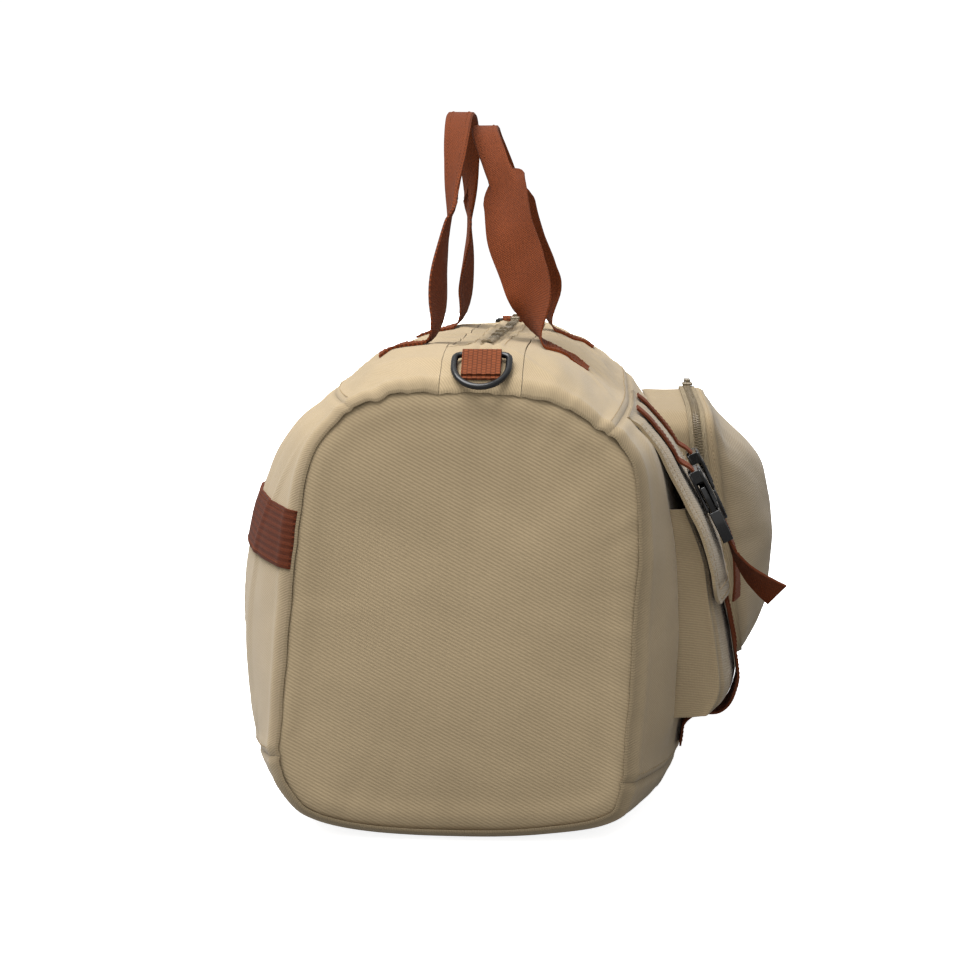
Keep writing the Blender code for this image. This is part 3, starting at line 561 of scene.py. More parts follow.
def shell_from(name, outer, inner, material, body, nodes=(), closed=False, seam=None, turn_uv=False, angle=50.0, planar=None):
    ns, nt = outer.shape[0] - 1, outer.shape[1] - 1
    du = np.zeros(outer.shape[:2])
    dv = np.zeros(outer.shape[:2])
    du[1:] = np.cumsum(np.linalg.norm(np.diff(outer, axis=0), axis=2).mean(axis=1))[:, None]
    dv[:, 1:] = np.cumsum(np.linalg.norm(np.diff(outer, axis=1), axis=2).mean(axis=0))[None, :]
    coordinates = np.stack([dv, du] if turn_uv else [du, dv], axis=2).reshape(-1, 2)
    if planar:
        # a flat-cut piece keeps its weave straight: two of the world's axes
        coordinates = outer[:, :, list(planar)].reshape(-1, 2)
    count = (ns + 1) * (nt + 1)
    across = np.cross(outer[1:, :-1] - outer[:-1, :-1], outer[:-1, 1:] - outer[:-1, :-1])
    flip = float((across * (outer - inner)[:-1, :-1]).sum()) < 0

    def at(i, j, layer):
        if closed and i == ns:
            i = 0
        return layer * count + i * (nt + 1) + j

    faces = []
    for i in range(ns):
        for j in range(nt):
            top = (at(i, j, 0), at(i + 1, j, 0), at(i + 1, j + 1, 0), at(i, j + 1, 0))
            low = (at(i, j, 1), at(i, j + 1, 1), at(i + 1, j + 1, 1), at(i + 1, j, 1))
            faces += [top[::-1], low[::-1]] if flip else [top, low]
    rim = []
    for i in range(ns):
        rim.append((at(i, 0, 0), at(i, 0, 1), at(i + 1, 0, 1), at(i + 1, 0, 0)))
        rim.append((at(i + 1, nt, 0), at(i + 1, nt, 1), at(i, nt, 1), at(i, nt, 0)))
    if not closed:
        for j in range(nt):
            rim.append((at(0, j + 1, 0), at(0, j + 1, 1), at(0, j, 1), at(0, j, 0)))
            rim.append((at(ns, j, 0), at(ns, j, 1), at(ns, j + 1, 1), at(ns, j + 1, 0)))
    faces += [f[::-1] for f in rim] if flip else rim
    vertices = np.concatenate([outer.reshape(-1, 3), inner.reshape(-1, 3)])
    values = None
    if seam is not None:
        one = np.array([[seam(i / ns, j / nt) for j in range(nt + 1)] for i in range(ns + 1)]).ravel()
        values = np.concatenate([one, one])
    obj = finish_mesh(name, vertices, faces, material, np.concatenate([coordinates, coordinates]), values, angle)
    if closed:
        bm = bmesh.new()
        bm.from_mesh(obj.data)
        loose = [v for v in bm.verts if not v.link_faces]
        bmesh.ops.delete(bm, geom=loose, context="VERTS")
        bm.to_mesh(obj.data)
        bm.free()
    return settle(obj, body, nodes)


def stitches(name, lines, material, body, pitch=0.0034, length=0.0024, thick=0.00034):
    """Thread lying on the cloth, one short rounded stitch at a time. Each line is a list of (point, normal)."""
    vertices, faces = [], []
    ring = 6
    for line in lines:
        points = [Vector(p) for p, _ in line]
        normals = [Vector(q) for _, q in line]
        marks = [0.0]
        for p, q in zip(points, points[1:]):
            marks.append(marks[-1] + (q - p).length)
        if marks[-1] < pitch:
            continue
        count = int(marks[-1] / pitch)
        step = marks[-1] / count
        k = 0
        for i in range(count):
            ends = []
            for at in (i * step + (step - length) / 2, i * step + (step + length) / 2):
                while k < len(marks) - 2 and marks[k + 1] < at:
                    k += 1
                f = (at - marks[k]) / max(marks[k + 1] - marks[k], 1e-9)
                ends.append((points[k].lerp(points[k + 1], f), normals[k].lerp(normals[k + 1], f)))
            (p, n), (q, m) = ends
            along = (q - p).normalized()
            n = (n + m).normalized()
            side = along.cross(n).normalized()
            first = len(vertices)
            for f, r, sink in ((0.0, 0.25, 1.0), (0.18, 0.9, 0.35), (0.5, 1.1, 0.0), (0.82, 0.9, 0.35), (1.0, 0.25, 1.0)):
                c = p.lerp(q, f) - n * (sink * thick * 1.1) + n * thick * 0.35
                for j in range(ring):
                    angle = math.tau * j / ring
                    vertices.append(c + (side * math.cos(angle) + n * math.sin(angle) * 0.8) * thick * r)
            for s in range(4):
                for j in range(ring):
                    b0, b1 = first + s * ring + j, first + s * ring + (j + 1) % ring
                    faces.append((b0, b0 + ring, b1 + ring, b1))
            faces.append(tuple(first + j for j in range(ring)))
            faces.append(tuple(first + 4 * ring + j for j in range(ring - 1, -1, -1)))
    obj = finish_mesh(name, vertices, faces, material, smooth_angle=70)
    bm = bmesh.new()
    bm.from_mesh(obj.data)
    bmesh.ops.recalc_face_normals(bm, faces=bm.faces[:])
    bm.to_mesh(obj.data)
    bm.free()
    return settle(obj, body)


def grid_line(place, steps, lift=0.0):
    """Points with normals along a path on a placed sheet: steps is a list of (s, t)."""
    line = []
    for s, t in steps:
        h = 0.004
        p = place(s, t, 0.0)
        ds = place(min(s + h, 1), t, 0.0) - place(max(s - h, 0), t, 0.0)
        dt = place(s, min(t + h, 1), 0.0) - place(s, max(t - h, 0), 0.0)
        n = ds.cross(dt).normalized()
        if n.dot(p - place(s, t, 1.0)) < 0:
            n = -n
        line.append((p + n * lift, n))
    return line


def spread(a, b, count):
    return [a + (b - a) * i / (count - 1) for i in range(count)]


# ================================================================ body panels
END_A = 0.0046


def body_a(s):
    """Places along the bag, closer together at the ends, where the cloth turns in."""
    x = 2 * s - 1
    x = math.copysign(1 - (1 - abs(x)) ** 1.35, x)
    return LENGTH / 2 + x * (LENGTH / 2 - END_A)


def turned_in(a):
    near = min(a, LENGTH - a)
    return -0.0042 * (1 - clamp((near - END_A) / 0.0080)) ** 2


def body_place(low, high):
    def place(s, t, w):
        a = body_a(s)
        first, last = low(a), high(a)
        return skin(first + (last - first) * t, a, -CLOTH * w + turned_in(a))

    return place


# mask for painted shade and dirt along the seams that run along the bag and at the end seams
def body_seam_shade_and_dirt(low, high):
    def seam(s, t):
        a = body_a(s)
        near = min(a, LENGTH - a)
        T = low(a) + (high(a) - low(a)) * t
        x = T % 5.0
        panel = min(int(x), 4)
        d = min((x - panel), (panel + 1 - x)) * PANEL_RUN[panel]
        if panel == 0:
            d = (1 - x) * PANEL_RUN[0]
        if panel == 4:
            d = (x - 4) * PANEL_RUN[4]
        return max(bell(near - END_A, 0.0035), 0.9 * bell(d, 0.0018))

    return seam


EDGE = 0.00035
PANELS = {
    "front_panel": (lambda a: 1 + EDGE, lambda a: 2 - EDGE, 96),
    "bottom_panel": (lambda a: 2 + EDGE, lambda a: 3 - EDGE, 84),
    "back_panel": (lambda a: 3 + EDGE, lambda a: 4 - EDGE, 96),
    "top_front_panel": (lambda a: top_T(ZIP_U + LIP + GAP, a), lambda a: 1 - EDGE, 34),
    "top_back_panel": (lambda a: 4 + EDGE - 5, lambda a: top_T(ZIP_U - LIP - GAP, a), 44),
}
for name, (low, high, nt) in PANELS.items():
    shell(
        name + "_cloth", 190, nt, body_place(low, high), M_SIDE, "bag", [name],
        seam=body_seam_shade_and_dirt(low, high),
    )

# rows of stitching beside the seams that run along the bag
rows = []
for T0, d in ((1, -1), (4, 1), (2, -1), (3, 1)):
    run = PANEL_RUN[int(T0 + 0.01 * d) % 5]
    T = T0 + d * 0.0055 / run
    line = []
    for i in range(260):
        a = body_a(0.03 + 0.94 * i / 259)
        n = outward(T, a)
        line.append((skin(T, a, 0.0), Vector((0, -n.x, n.y))))
    rows.append(line)
stitches("long_seam_stitching", rows, M_THREAD, "bag")

# ================================================================ zip ends, lips and teeth
for side, (a0, a1) in (("left", (END_A, MOUTH[0] - 0.0006)), ("right", (MOUTH[1] + 0.0006, LENGTH - END_A))):
    def place(s, t, w, a0=a0, a1=a1):
        a = a0 + (a1 - a0) * s
        low, high = top_T(ZIP_U - LIP, a), top_T(ZIP_U + LIP, a)
        T = low + (high - low) * t
        # a fold of cloth covers the zip's end: a low rib on either side of the middle
        u = abs(t - 0.5) * 2 * LIP
        near = smooth((min(a, LENGTH - a) - 0.030) / 0.010)
        rib = near * (0.0011 * bell(u - 0.0088, 0.0030) - 0.0010 * bell(u - 0.0040, 0.0016))
        return skin(T, a, -CLOTH * w + turned_in(a) + rib)

    shell(f"zip_end_{side}_cloth", 44, 52, place, M_SIDE, "bag", [f"zip_end_{side}"])


def lip_surface(u, a, off):
    """The mouth's cloth: flat tape by the teeth, then a folded edge with a ridge."""
    d = abs(u - ZIP_U)
    ridge = 0.0013 * bell(d - 0.0096, 0.0026) - 0.0007 * bell(d - 0.0056, 0.0016)
    ridge += 0.0005 * n2(a / 0.020, d / 0.02, 5.0 if u > ZIP_U else 9.0) * smooth((d - 0.005) / 0.004)
    return on_top(a, u, off + ridge)


for word, sign, body in (("front", 1, "mouth_front"), ("back", -1, "mouth_back")):
    def place(s, t, w, sign=sign):
        a = MOUTH[0] + (MOUTH[1] - MOUTH[0]) * s
        return lip_surface(ZIP_U + sign * (0.0012 + (LIP - GAP - 0.0012) * t), a, -0.0016 * w)

    # the seam mask here is painted shade and dirt in the lip's valley beside the teeth
    piece = shell(f"lip_{word}_cloth", 150, 26, place, M_SIDE, None, [f"lip_{word}"], seam=lambda s, t: bell(t - 0.18, 0.05))
    root = MID_Y - ZIP_U - sign * LIP
    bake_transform(piece)
    line = []
    for i in range(220):
        a = MOUTH[0] + 0.004 + (MOUTH[1] - MOUTH[0] - 0.008) * i / 219
        line.append((lip_surface(ZIP_U + sign * 0.0118, a, 0.0001), Vector((0, 0, 1))))
    stitches(f"lip_{word}_stitching", [line], M_THREAD, body)
    # the coil: one small bent loop of nylon after another
    vertices, faces = [], []
    count = 236
    for i in range(count):
        a = MOUTH[0] + 0.001 + (MOUTH[1] - MOUTH[0] - 0.002) * (i + (0.5 if sign > 0 else 0.0)) / count
        base = on_top(a, ZIP_U, 0.0006)
        y = Vector((0, -sign, 0))
        for k, (d, h, half, up) in enumerate(
            ((-0.0003, 0.0006, 0.00042, 0.0010), (0.0010, 0.0011, 0.00040, 0.0012), (0.0026, 0.0009, 0.00040, 0.0011), (0.0034, 0.0002, 0.00036, 0.0006))
        ):
            for da, dz in ((-half, h - up / 2), (half, h - up / 2), (half, h + up / 2), (-half, h + up / 2)):
                vertices.append(base + Vector((da, 0, dz)) + y * d)
        f = len(vertices) - 16
        for k in range(3):
            for j in range(4):
                faces.append((f + 4 * k + j, f + 4 * k + (j + 1) % 4, f + 4 * k + 4 + (j + 1) % 4, f + 4 * k + 4 + j))
        faces += [(f, f + 3, f + 2, f + 1), (f + 12, f + 13, f + 14, f + 15)]
    coil = finish_mesh(f"zip_coil_{word}", vertices, faces, M_TEETH, smooth_angle=60)
    bm = bmesh.new()
    bm.from_mesh(coil.data)
    bmesh.ops.recalc_face_normals(bm, faces=bm.faces[:])
    bm.to_mesh(coil.data)
    bm.free()
    settle(coil, body, [f"zip_teeth_{word}"])


# ================================================================ end panels
RADII = {}


def end_radius(angle, a):
    """Distance from the section's middle to its outline, in one direction."""
    key = round(a, 4)
    if key not in RADII:
        rows = []
        for i in range(720):
            u, z = loop(5.0 * i / 720, a)
            rows.append((math.atan2(z - 0.155, u), math.hypot(u, z - 0.155)))
        rows.sort()
        RADII[key] = (np.array([r[0] for r in rows]), np.array([r[1] for r in rows]))
    angles, reaches = RADII[key]
    return float(np.interp(angle, angles, reaches, period=math.tau))


def end_shape(sign):
    def place(s, t, w):
        x, y = 2 * s - 1, 2 * t - 1
        du, dz = x * math.sqrt(1 - y * y / 2), y * math.sqrt(1 - x * x / 2)
        r = min(math.hypot(du, dz), 1.0)
        angle = math.atan2(dz, du) if r > 1e-9 else 0.0
        near = 0.008 if sign < 0 else LENGTH - 0.008
        full = end_radius(angle, near) - 0.0022
        reach = full * r
        edge = full * (1 - r)
        a = 0.0076 - 0.0076 * (1 - r**3.2)
        # drawn in at the seam, full just inside it, gathered towards the top corners
        up = max(math.sin(angle), 0.0) ** 2
        a += 0.0030 * bell(edge, 0.0030)
        a -= 0.0012 * bell(edge - 0.012, 0.009)
        arc = angle * full
        a -= 0.0011 * (0.6 + 1.2 * up) * n2(arc / 0.016, 2.0 + edge / 0.10, 6.0) * math.exp(-edge / 0.016) * smooth(edge / 0.003)
        a -= 0.0017 * (0.5 + 1.1 * up) * n2(arc / 0.036, 4.0 + edge / 0.16, 6.0) * math.exp(-edge / 0.048)
        u, z = math.cos(angle) * reach, math.sin(angle) * reach
        middle = smooth(edge / 0.05)
        a -= 0.0022 * middle * n2(u / 0.10, z / 0.085, 1.5)
        a -= 0.0008 * middle * n2(u / 0.05 + z / 0.08, z / 0.045, 3.5)
        a += CLOTH * w
        if sign < 0:
            return world(a, u, 0.155 + z)
        return world(LENGTH - a, u, 0.155 + z)

    return place


# mask for painted shade and dirt round the end panel's seam
def end_seam_shade_and_dirt(s, t):
    x, y = 2 * s - 1, 2 * t - 1
    r = math.hypot(x * math.sqrt(1 - y * y / 2), y * math.sqrt(1 - x * x / 2))
    return bell((1 - r) * 0.14, 0.0030)


for sign, side in ((-1, "left"), (1, "right")):
    shell(f"end_panel_{side}_cloth", 130, 130, end_shape(sign), M_CANVAS, "bag", [f"end_panel_{side}"], seam=end_seam_shade_and_dirt, planar=(1, 2))


# ================================================================ the back band
def band_place(s, t, w):
    a = body_a(s)
    z = BAND_Z[0] + (BAND_Z[1] - BAND_Z[0]) * t
    return skin(side_T(z, a, 3.0, 4.0), a, 0.0003 + WEB * (1 - w) + turned_in(a))


shell("back_band_webbing", 150, 18, band_place, M_BAND, "bag", ["back_strap"])
rows = [grid_line(band_place, [(s, t) for s in spread(0.03, 0.97, 150)]) for t in (0.06, 0.94)]
stitches("back_band_stitching", rows, M_RUST_THREAD, "bag")


# ================================================================ D-rings and their tabs
def along_top(side, a, off):
    p = on_top(a if side < 0 else LENGTH - a, ZIP_U, off, 0.35)
    return p.x, p.z


for side, word in ((-1, "left"), (1, "right")):
    bx, bz = along_top(side, RING_A[side], RING_OFF)
    base = on_top(RING_A[side] if side < 0 else LENGTH - RING_A[side], ZIP_U, RING_OFF, 0.0)
    bx, bz = base.x, base.z
    ends = spread(0.0066, 0.0200, 10)
    points = [along_top(side, a, 0.0014) for a in ends]
    slope = math.atan2(bz - points[-1][1], side * (points[-1][0] - bx))
    for i in range(22):
        angle = -math.pi / 2 + slope + math.radians(190) * i / 21
        points.append((bx - side * 0.0031 * math.cos(angle), bz + 0.0031 * math.sin(angle)))
    points += [along_top(side, a, off) for a, off in ((0.0185, 0.0054), (0.0160, 0.0042), (0.0130, 0.0037), (0.0095, 0.0034), (0.0078, 0.0032))]
    for _ in range(2):
        points = [points[0]] + [
            tuple((p[k] + 2 * q[k] + r[k]) / 4 for k in (0, 1)) for p, q, r in zip(points, points[1:], points[2:])
        ] + [points[-1]]

    def tab_place(s, t, w, points=points, side=side):
        i = round(s * (len(points) - 1))
        before, after = points[max(i - 1, 0)], points[min(i + 1, len(points) - 1)]
        d = Vector((after[0] - before[0], after[1] - before[1])).normalized() * side
        x = points[i][0] + d.y * (0.5 - w) * 0.0014
        z = points[i][1] - d.x * (0.5 - w) * 0.0014
        return Vector((x, MID_Y - ZIP_U + NARROW_WEB * (t - 0.5), z))

    shell(f"d_ring_tab_{word}_webbing", len(points) - 1, 16, tab_place, M_TAB, "bag", [f"d_ring_tab_{word}"])

    data = bpy.data.curves.new("d_ring", "CURVE")
    data.dimensions = "3D"
    data.bevel_depth = 0.0022
    data.bevel_resolution = 6
    half, reach = 0.0175, 0.0345
    outline = [(0.0, y) for y in spread(-0.0135, 0.0135, 9)]
    outline += [(0.0009, 0.0158), (0.0026, 0.0171), (0.0050, half), (0.0085, half)]
    for i in range(1, 30):
        angle = math.radians(90 - 180 * i / 30)
        outline.append((0.012 + (reach - 0.012) * math.cos(angle), half * math.sin(angle)))
    outline += [(0.0085, -half), (0.0050, -half), (0.0026, -0.0171), (0.0009, -0.0158)]
    line = data.splines.new("POLY")
    line.points.add(len(outline) - 1)
    for target, (x, y) in zip(line.points, outline):
        target.co = (x, y, 0, 1)
    line.use_cyclic_u = True
    curve = bpy.data.objects.new("d_ring_curve", data)
    bpy.context.scene.collection.objects.link(curve)
    bpy.context.view_layer.update()
    mesh = bpy.data.meshes.new_from_object(curve.evaluated_get(bpy.context.evaluated_depsgraph_get()))
    bpy.data.objects.remove(curve)
    mesh.materials.clear()
    mesh.materials.append(M_BLACK)
    mesh.shade_smooth()
    for v in mesh.vertices:
        # a moulded ring is a little flatter than round
        v.co.z *= 0.90
    ring = bpy.data.objects.new(f"d_ring_{word}_plastic", mesh)
    bpy.context.scene.collection.objects.link(ring)
    fall = math.radians(31 if side < 0 else 20)
    out = Vector((side * math.cos(fall), 0, -math.sin(fall)))
    up = Vector((side * math.sin(fall), 0, math.cos(fall)))
    ring.matrix_world = Matrix.Translation(base) @ Matrix((out, up.cross(out), up)).transposed().to_4x4()
    settle(ring, f"ring_{word}", [f"d_ring_{word}"])


# ================================================================ handles: one length of webbing each
FOLDS = {"back": (0.30, 0.20), "front": (0.55, 0.16)}
LEGS = {
    "back": [
        (0.00, 0, -26.0, 0, 0), (0.08, 3, -25.8, 345, -13), (0.22, 15, -23.2, 374, -5),
        (0.38, 33, -19.8, 406, 14), (0.55, 55, -18.6, 437, 48), (0.70, 78, -18.4, 460, 74),
        (0.84, 104, -18.5, 474, 89), (1.00, 135, -18.5, 477.2, 90),
    ],
    "front": [
        (0.00, 0, 40.0, 0, 0), (0.08, 3, 39.5, 343, 42), (0.22, 15, 32.5, 366, 54),
        (0.38, 33, 22.5, 392, 57), (0.55, 55, 17.5, 419, 52), (0.70, 78, 8.5, 443, 66),
        (0.84, 104, 0.6, 462, 82), (1.00, 135, -0.6, 467.5, 90),
    ],
}


def keyed(rows, k):
    i = 0
    while i < len(rows) - 2 and k > rows[i + 1][0]:
        i += 1

    def tangent(n):
        low, high = max(n - 1, 0), min(n + 1, len(rows) - 1)
        span = rows[high][0] - rows[low][0]
        return [(b - a) / span for a, b in zip(rows[low], rows[high])]

    h = rows[i + 1][0] - rows[i][0]
    x = (k - rows[i][0]) / h
    a, b = 2 * x**3 - 3 * x**2 + 1, x**3 - 2 * x**2 + x
    c, d = 3 * x**2 - 2 * x**3, x**3 - x**2
    m, n = tangent(i), tangent(i + 1)
    return [
        a * rows[i][q] + b * h * m[q] + c * rows[i + 1][q] + d * h * n[q]
        for q in range(len(rows[0]))
    ]


FEET = {
    (word, side): on_top(HANDLE_A[0] if side < 0 else HANDLE_A[1], LEGS[word][0][2] / 1000, GAP + WEB, 0.0).z * 1000 + 0.6
    for word in LEGS
    for side in (-1, 1)
}


def leg_station(word, k, side):
    rows = LEGS[word]
    rows = [(0.0, 0, rows[0][2], FEET[word, side], rows[0][4]), *rows[1:]]
    mirrored = rows[-2]
    rows.append((2 - mirrored[0], 2 * rows[-1][1] - mirrored[1], *mirrored[2:]))
    _, inward, u, z, turn = keyed(rows, k)
    a = HANDLE_A[0] + inward / 1000 if side < 0 else HANDLE_A[1] - inward / 1000
    return a, u / 1000, z / 1000, math.radians(turn)


def strip_section(fold, thick, columns=25):
    """Webbing seen end on: flat at fold 0, and both edges turned over to meet at the middle at fold 1.
    Rows of (across, up, normal across, normal up, distance from the middle)."""
    bend = 0.0027
    x = np.linspace(0, WIDE_WEB / 2, 300)
    angle = math.pi * 0.985 * fold * np.clip((x - (WIDE_WEB / 4 - bend / 2)) / bend, 0, 1)
    y = np.concatenate([[0], np.cumsum(np.cos((angle[1:] + angle[:-1]) / 2) * np.diff(x))])
    z = np.concatenate([[0], np.cumsum(np.sin((angle[1:] + angle[:-1]) / 2) * np.diff(x))])
    # half folded, an edge is pressed down towards the strip and doesn't stand up from it
    z = np.where(z > 0.0017, 0.0017 + 0.2 * (z - 0.0017), z) - fold * 0.00085
    slope_y, slope_z = np.gradient(y, x), np.gradient(z, x)
    size = np.maximum(np.hypot(slope_y, slope_z), 1e-6)
    slope_y, slope_z = slope_y / size, slope_z / size
    found = []
    for i in range(columns):
        v = 2 * i / (columns - 1) - 1
        # columns gather where the webbing bends
        w = clamp(abs(v) + 0.055 * math.sin(math.tau * abs(v))) * WIDE_WEB / 2
        sign = 1 if v >= 0 else -1
        across, up, ny, nz = (float(np.interp(w, x, q)) for q in (y, z, slope_z, slope_y))
        found.append((sign * across, up, -sign * ny, nz, sign * w))
    return found


HANDLE_RUNS = {}
for word, sign in (("back", -1), ("front", 1)):
    body = "handle_b" if word == "back" else "handle_f"
    root = HANDLE_U[0] if sign < 0 else HANDLE_U[1]
    steps = spread(0.022, 1.0, 66)
    stations = [(k, -1) for k in steps] + [(k, 1) for k in steps[-2::-1]]
    centre = [world(*leg_station(word, k, side)[:3]) for k, side in stations]
    upper, lower, widths, runs = [], [], [], []
    leg_rows = []
    for i, (k, side) in enumerate(stations):
        turn = leg_station(word, k, side)[3]
        before, after = centre[max(i - 1, 0)], centre[min(i + 1, len(centre) - 1)]
        along = (after - before).normalized()
        if i == 0:
            along = Vector((0, 0, 1))
        if i == len(stations) - 1:
            along = Vector((0, 0, -1))
        across = Vector((0, -1, 0))
        across = (across - along * across.dot(along)).normalized()
        inplane = across.cross(along)
        if side > 0:
            inplane = -inplane
        wide = (inplane * math.cos(turn) + across * math.sin(turn)).normalized()
        face = along.cross(wide).normalized()
        fold = smooth((k - FOLDS[word][0]) / FOLDS[word][1])
        thick = 0.00145
        row_a, row_b = [], []
        cup = 0.0011 * (1 - fold) * smooth(k / 0.15)
        for y, z, ny, nz, w in strip_section(fold, thick):
            # loose webbing is never quite flat: it cups a little and its edges wander
            z += cup * (1 - (2 * w / WIDE_WEB) ** 2) * 2 - cup
            z += 0.0007 * (1 - fold) * n2(k * 9, w / 0.02, 3.0 * side + sign)
            p = centre[i] + wide * y + face * z
            m = wide * ny + face * nz
            row_a.append(p + m * thick / 2)
            row_b.append(p - m * thick / 2)
        leg_rows.append((row_a, row_b))
    flat = strip_section(0.0, 0.0)

    def tail_rows(a_centre, low_side):
        rows = []
        for d in spread(0.0370, 0.0030, 14):
            u = root + sign * d
            row_top, row_low = [], []
            for y, z, ny, nz, w in flat:
                a = a_centre - y
                row_top.append(on_top(a, u, 0.0003 + WEB))
                row_low.append(on_top(a, u, 0.0002))
            rows.append((row_low, row_top) if low_side else (row_top, row_low))
        return rows

    left = tail_rows(HANDLE_A[0], sign < 0)
    right_rows = tail_rows(HANDLE_A[1], sign > 0)[::-1]
    rows = left + leg_rows + right_rows
    outer = np.array([r[0] for r in rows], float)
    inner = np.array([r[1] for r in rows], float)
    for joint in (len(left), len(left) + len(leg_rows)):
        for _ in range(3):
            for grid in (outer, inner):
                low, high = joint - 2, joint + 2
                grid[low:high] = (grid[low - 1 : high - 1] + 2 * grid[low:high] + grid[low + 1 : high + 1]) / 4
    piece = shell_from(
        f"handle_{word}_webbing", outer, inner, M_WEB, None,
        [f"handle_{word}", f"handle_tail_{word}_left", f"handle_tail_{word}_right"], turn_uv=True,
    )
    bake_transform(piece)
    # stitching that holds the doubled grip together, near its open edges
    lines = []
    first = len(left)
    grip = [i for i, (k, side) in enumerate(stations) if k > FOLDS[word][0] + FOLDS[word][1]]
    for layer, other in ((outer, inner),):
        for column in (9, 15):
            line = []
            for i in grip:
                p, q = layer[first + i][column], other[first + i][column]
                n = Vector(p - q).normalized()
                mid = Vector(p)
                line.append((mid if column else mid, n))
            lines.append(line)
    lines = [[(p - n * 0.00145, -n) for p, n in line] for line in lines]
    stitches(f"handle_{word}_grip_stitching", lines, M_RUST_THREAD, body, pitch=0.0036, length=0.0026, thick=0.0004)
    # a box with a cross in it on each sewn foot
    lines = []
    for a_centre in HANDLE_A:
        h = WIDE_WEB / 2 - 0.0035
        c = [(-h, 0.0335), (h, 0.0335), (h, 0.0085), (-h, 0.0085)]
        for p, q in ((0, 1), (1, 2), (2, 3), (3, 0), (0, 2), (1, 3)):
            line = []
            for f in spread(0, 1, 12):
                x = c[p][0] + (c[q][0] - c[p][0]) * f
                d = c[p][1] + (c[q][1] - c[p][1]) * f
                line.append((on_top(a_centre + x, root + sign * d, 0.0004 + WEB), Vector((0, -sign * 0.25, 1)).normalized()))
            lines.append(line)
    stitches(f"handle_{word}_foot_stitching", lines, M_RUST_THREAD, "bag", thick=0.0004)


# ================================================================ pouch and its buckled flap
def along_flap(rows, z, a):
    k = clamp((a - FLAP_A[0]) / (FLAP_A[1] - FLAP_A[0]))
    near, far = soft_table(rows, z * 1000, 1), soft_table(rows, z * 1000, 2)
    return (near + (far - near) * k) / 1000


def flap_u(z, a):
    return front_u(z, a) + along_flap(FLAP_OFF, z, a)


def pouch_u(z, a):
    return front_u(z, a) + along_flap(POUCH_OFF, z, a)


def flap_point(z, a, off):
    u = flap_u(z, a)
    up, down = (flap_u(z + 0.006, a), z + 0.006), (flap_u(z - 0.006, a), z - 0.006)
    d = Vector((down[0] - up[0], down[1] - up[1])).normalized()
    return world(a, u - d.y * off, z + d.x * off)


def flap_sag(z, a):
    top = loop(1.0, a)[1] - 0.0015
    k = clamp((z - 0.236) / (0.2775 - 0.236))
    return z + (top - 0.2775) * k


def flap_place(s, t, w):
    a = FLAP_A[0] + (FLAP_A[1] - FLAP_A[0]) * s
    d_edge = min(s, 1 - s) * (FLAP_A[1] - FLAP_A[0])
    corner = 0.014
    lift = corner - math.sqrt(max(corner**2 - max(corner - d_edge, 0.0) ** 2, 0.0))
    z = 0.2785 + (0.1490 + lift - 0.2785) * t
    d_low = (1 - t) * 0.129
    hem = min(d_edge, d_low)
    off = 0.0004 * smooth((0.0105 - hem) / 0.0012) - 0.0007 * bell(hem - 0.0115, 0.0012)
    off += 0.0010 * n2(a / 0.030, z / 0.030, 11.0) * smooth(t / 0.15)
    off += 0.0016 * n2(a / 0.085, z / 0.07, 12.0) * smooth(t / 0.3)
    off += 0.0009 * n2(z / 0.018, 13.0 + (0 if s < 0.5 else 5)) * math.exp(-d_edge / 0.012) * smooth(t / 0.1)
    # tucked into the seam at the top
    tuck = 1 - smooth(t / 0.07)
    p = flap_point(flap_sag(z, a), a, off - 0.0026 * tuck - 0.0021 * w)
    return p


# mask for painted shade and dirt in the flap's hem valley and where it is tucked into the seam at the top
def flap_seam_shade_and_dirt(s, t):
    d_edge = min(s, 1 - s) * 0.200
    hem = min(d_edge, (1 - t) * 0.129)
    return max(bell(hem - 0.0115, 0.0010) * 0.6, bell(t * 0.129, 0.0020))


flap_piece = shell("pocket_flap_cloth", 130, 84, flap_place, M_POCKET_PAINTED_SHADE, None, ["pocket_flap"], seam=flap_seam_shade_and_dirt, angle=40)
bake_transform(flap_piece)
lines = []
for inset_by in (0.0030, 0.0095):
    ds, dt = inset_by / 0.200, inset_by / 0.129
    c = 0.014 / 0.200, 0.014 / 0.129
    path = [(ds, t) for t in spread(0.05, 1 - c[1], 70)]
    path += [(s, 1 - dt) for s in spread(c[0], 1 - c[0], 110)]
    path += [(1 - ds, t) for t in spread(1 - c[1], 0.05, 70)]
    lines.append(grid_line(flap_place, path, 0.0001))
stitches("pocket_flap_stitching", lines, M_THREAD, "flap")

TRAY_A = [0.0, 0.0005, 0.0018, 0.0070, 0.030, 0.070, 0.120, 0.160, 0.183, 0.1882, 0.1895, 0.190]
TRAY_K = [0.0, 0.55, 0.94, 1.0, 1.0, 1.0, 1.0, 1.0, 1.0, 0.94, 0.55, 0.0]
TRAY_Z = [0.213, 0.198, 0.180, 0.157, 0.133, 0.109, 0.091, 0.080, 0.0740, 0.0725, 0.0720]
TRAY_KZ = [1.0, 1.0, 1.0, 1.0, 1.0, 1.0, 1.0, 1.0, 0.92, 0.5, 0.0]


def spaced(values, s):
    at = clamp(s) * (len(values) - 1)
    i = min(int(at), len(values) - 2)
    return values[i] + (values[i + 1] - values[i]) * (at - i)


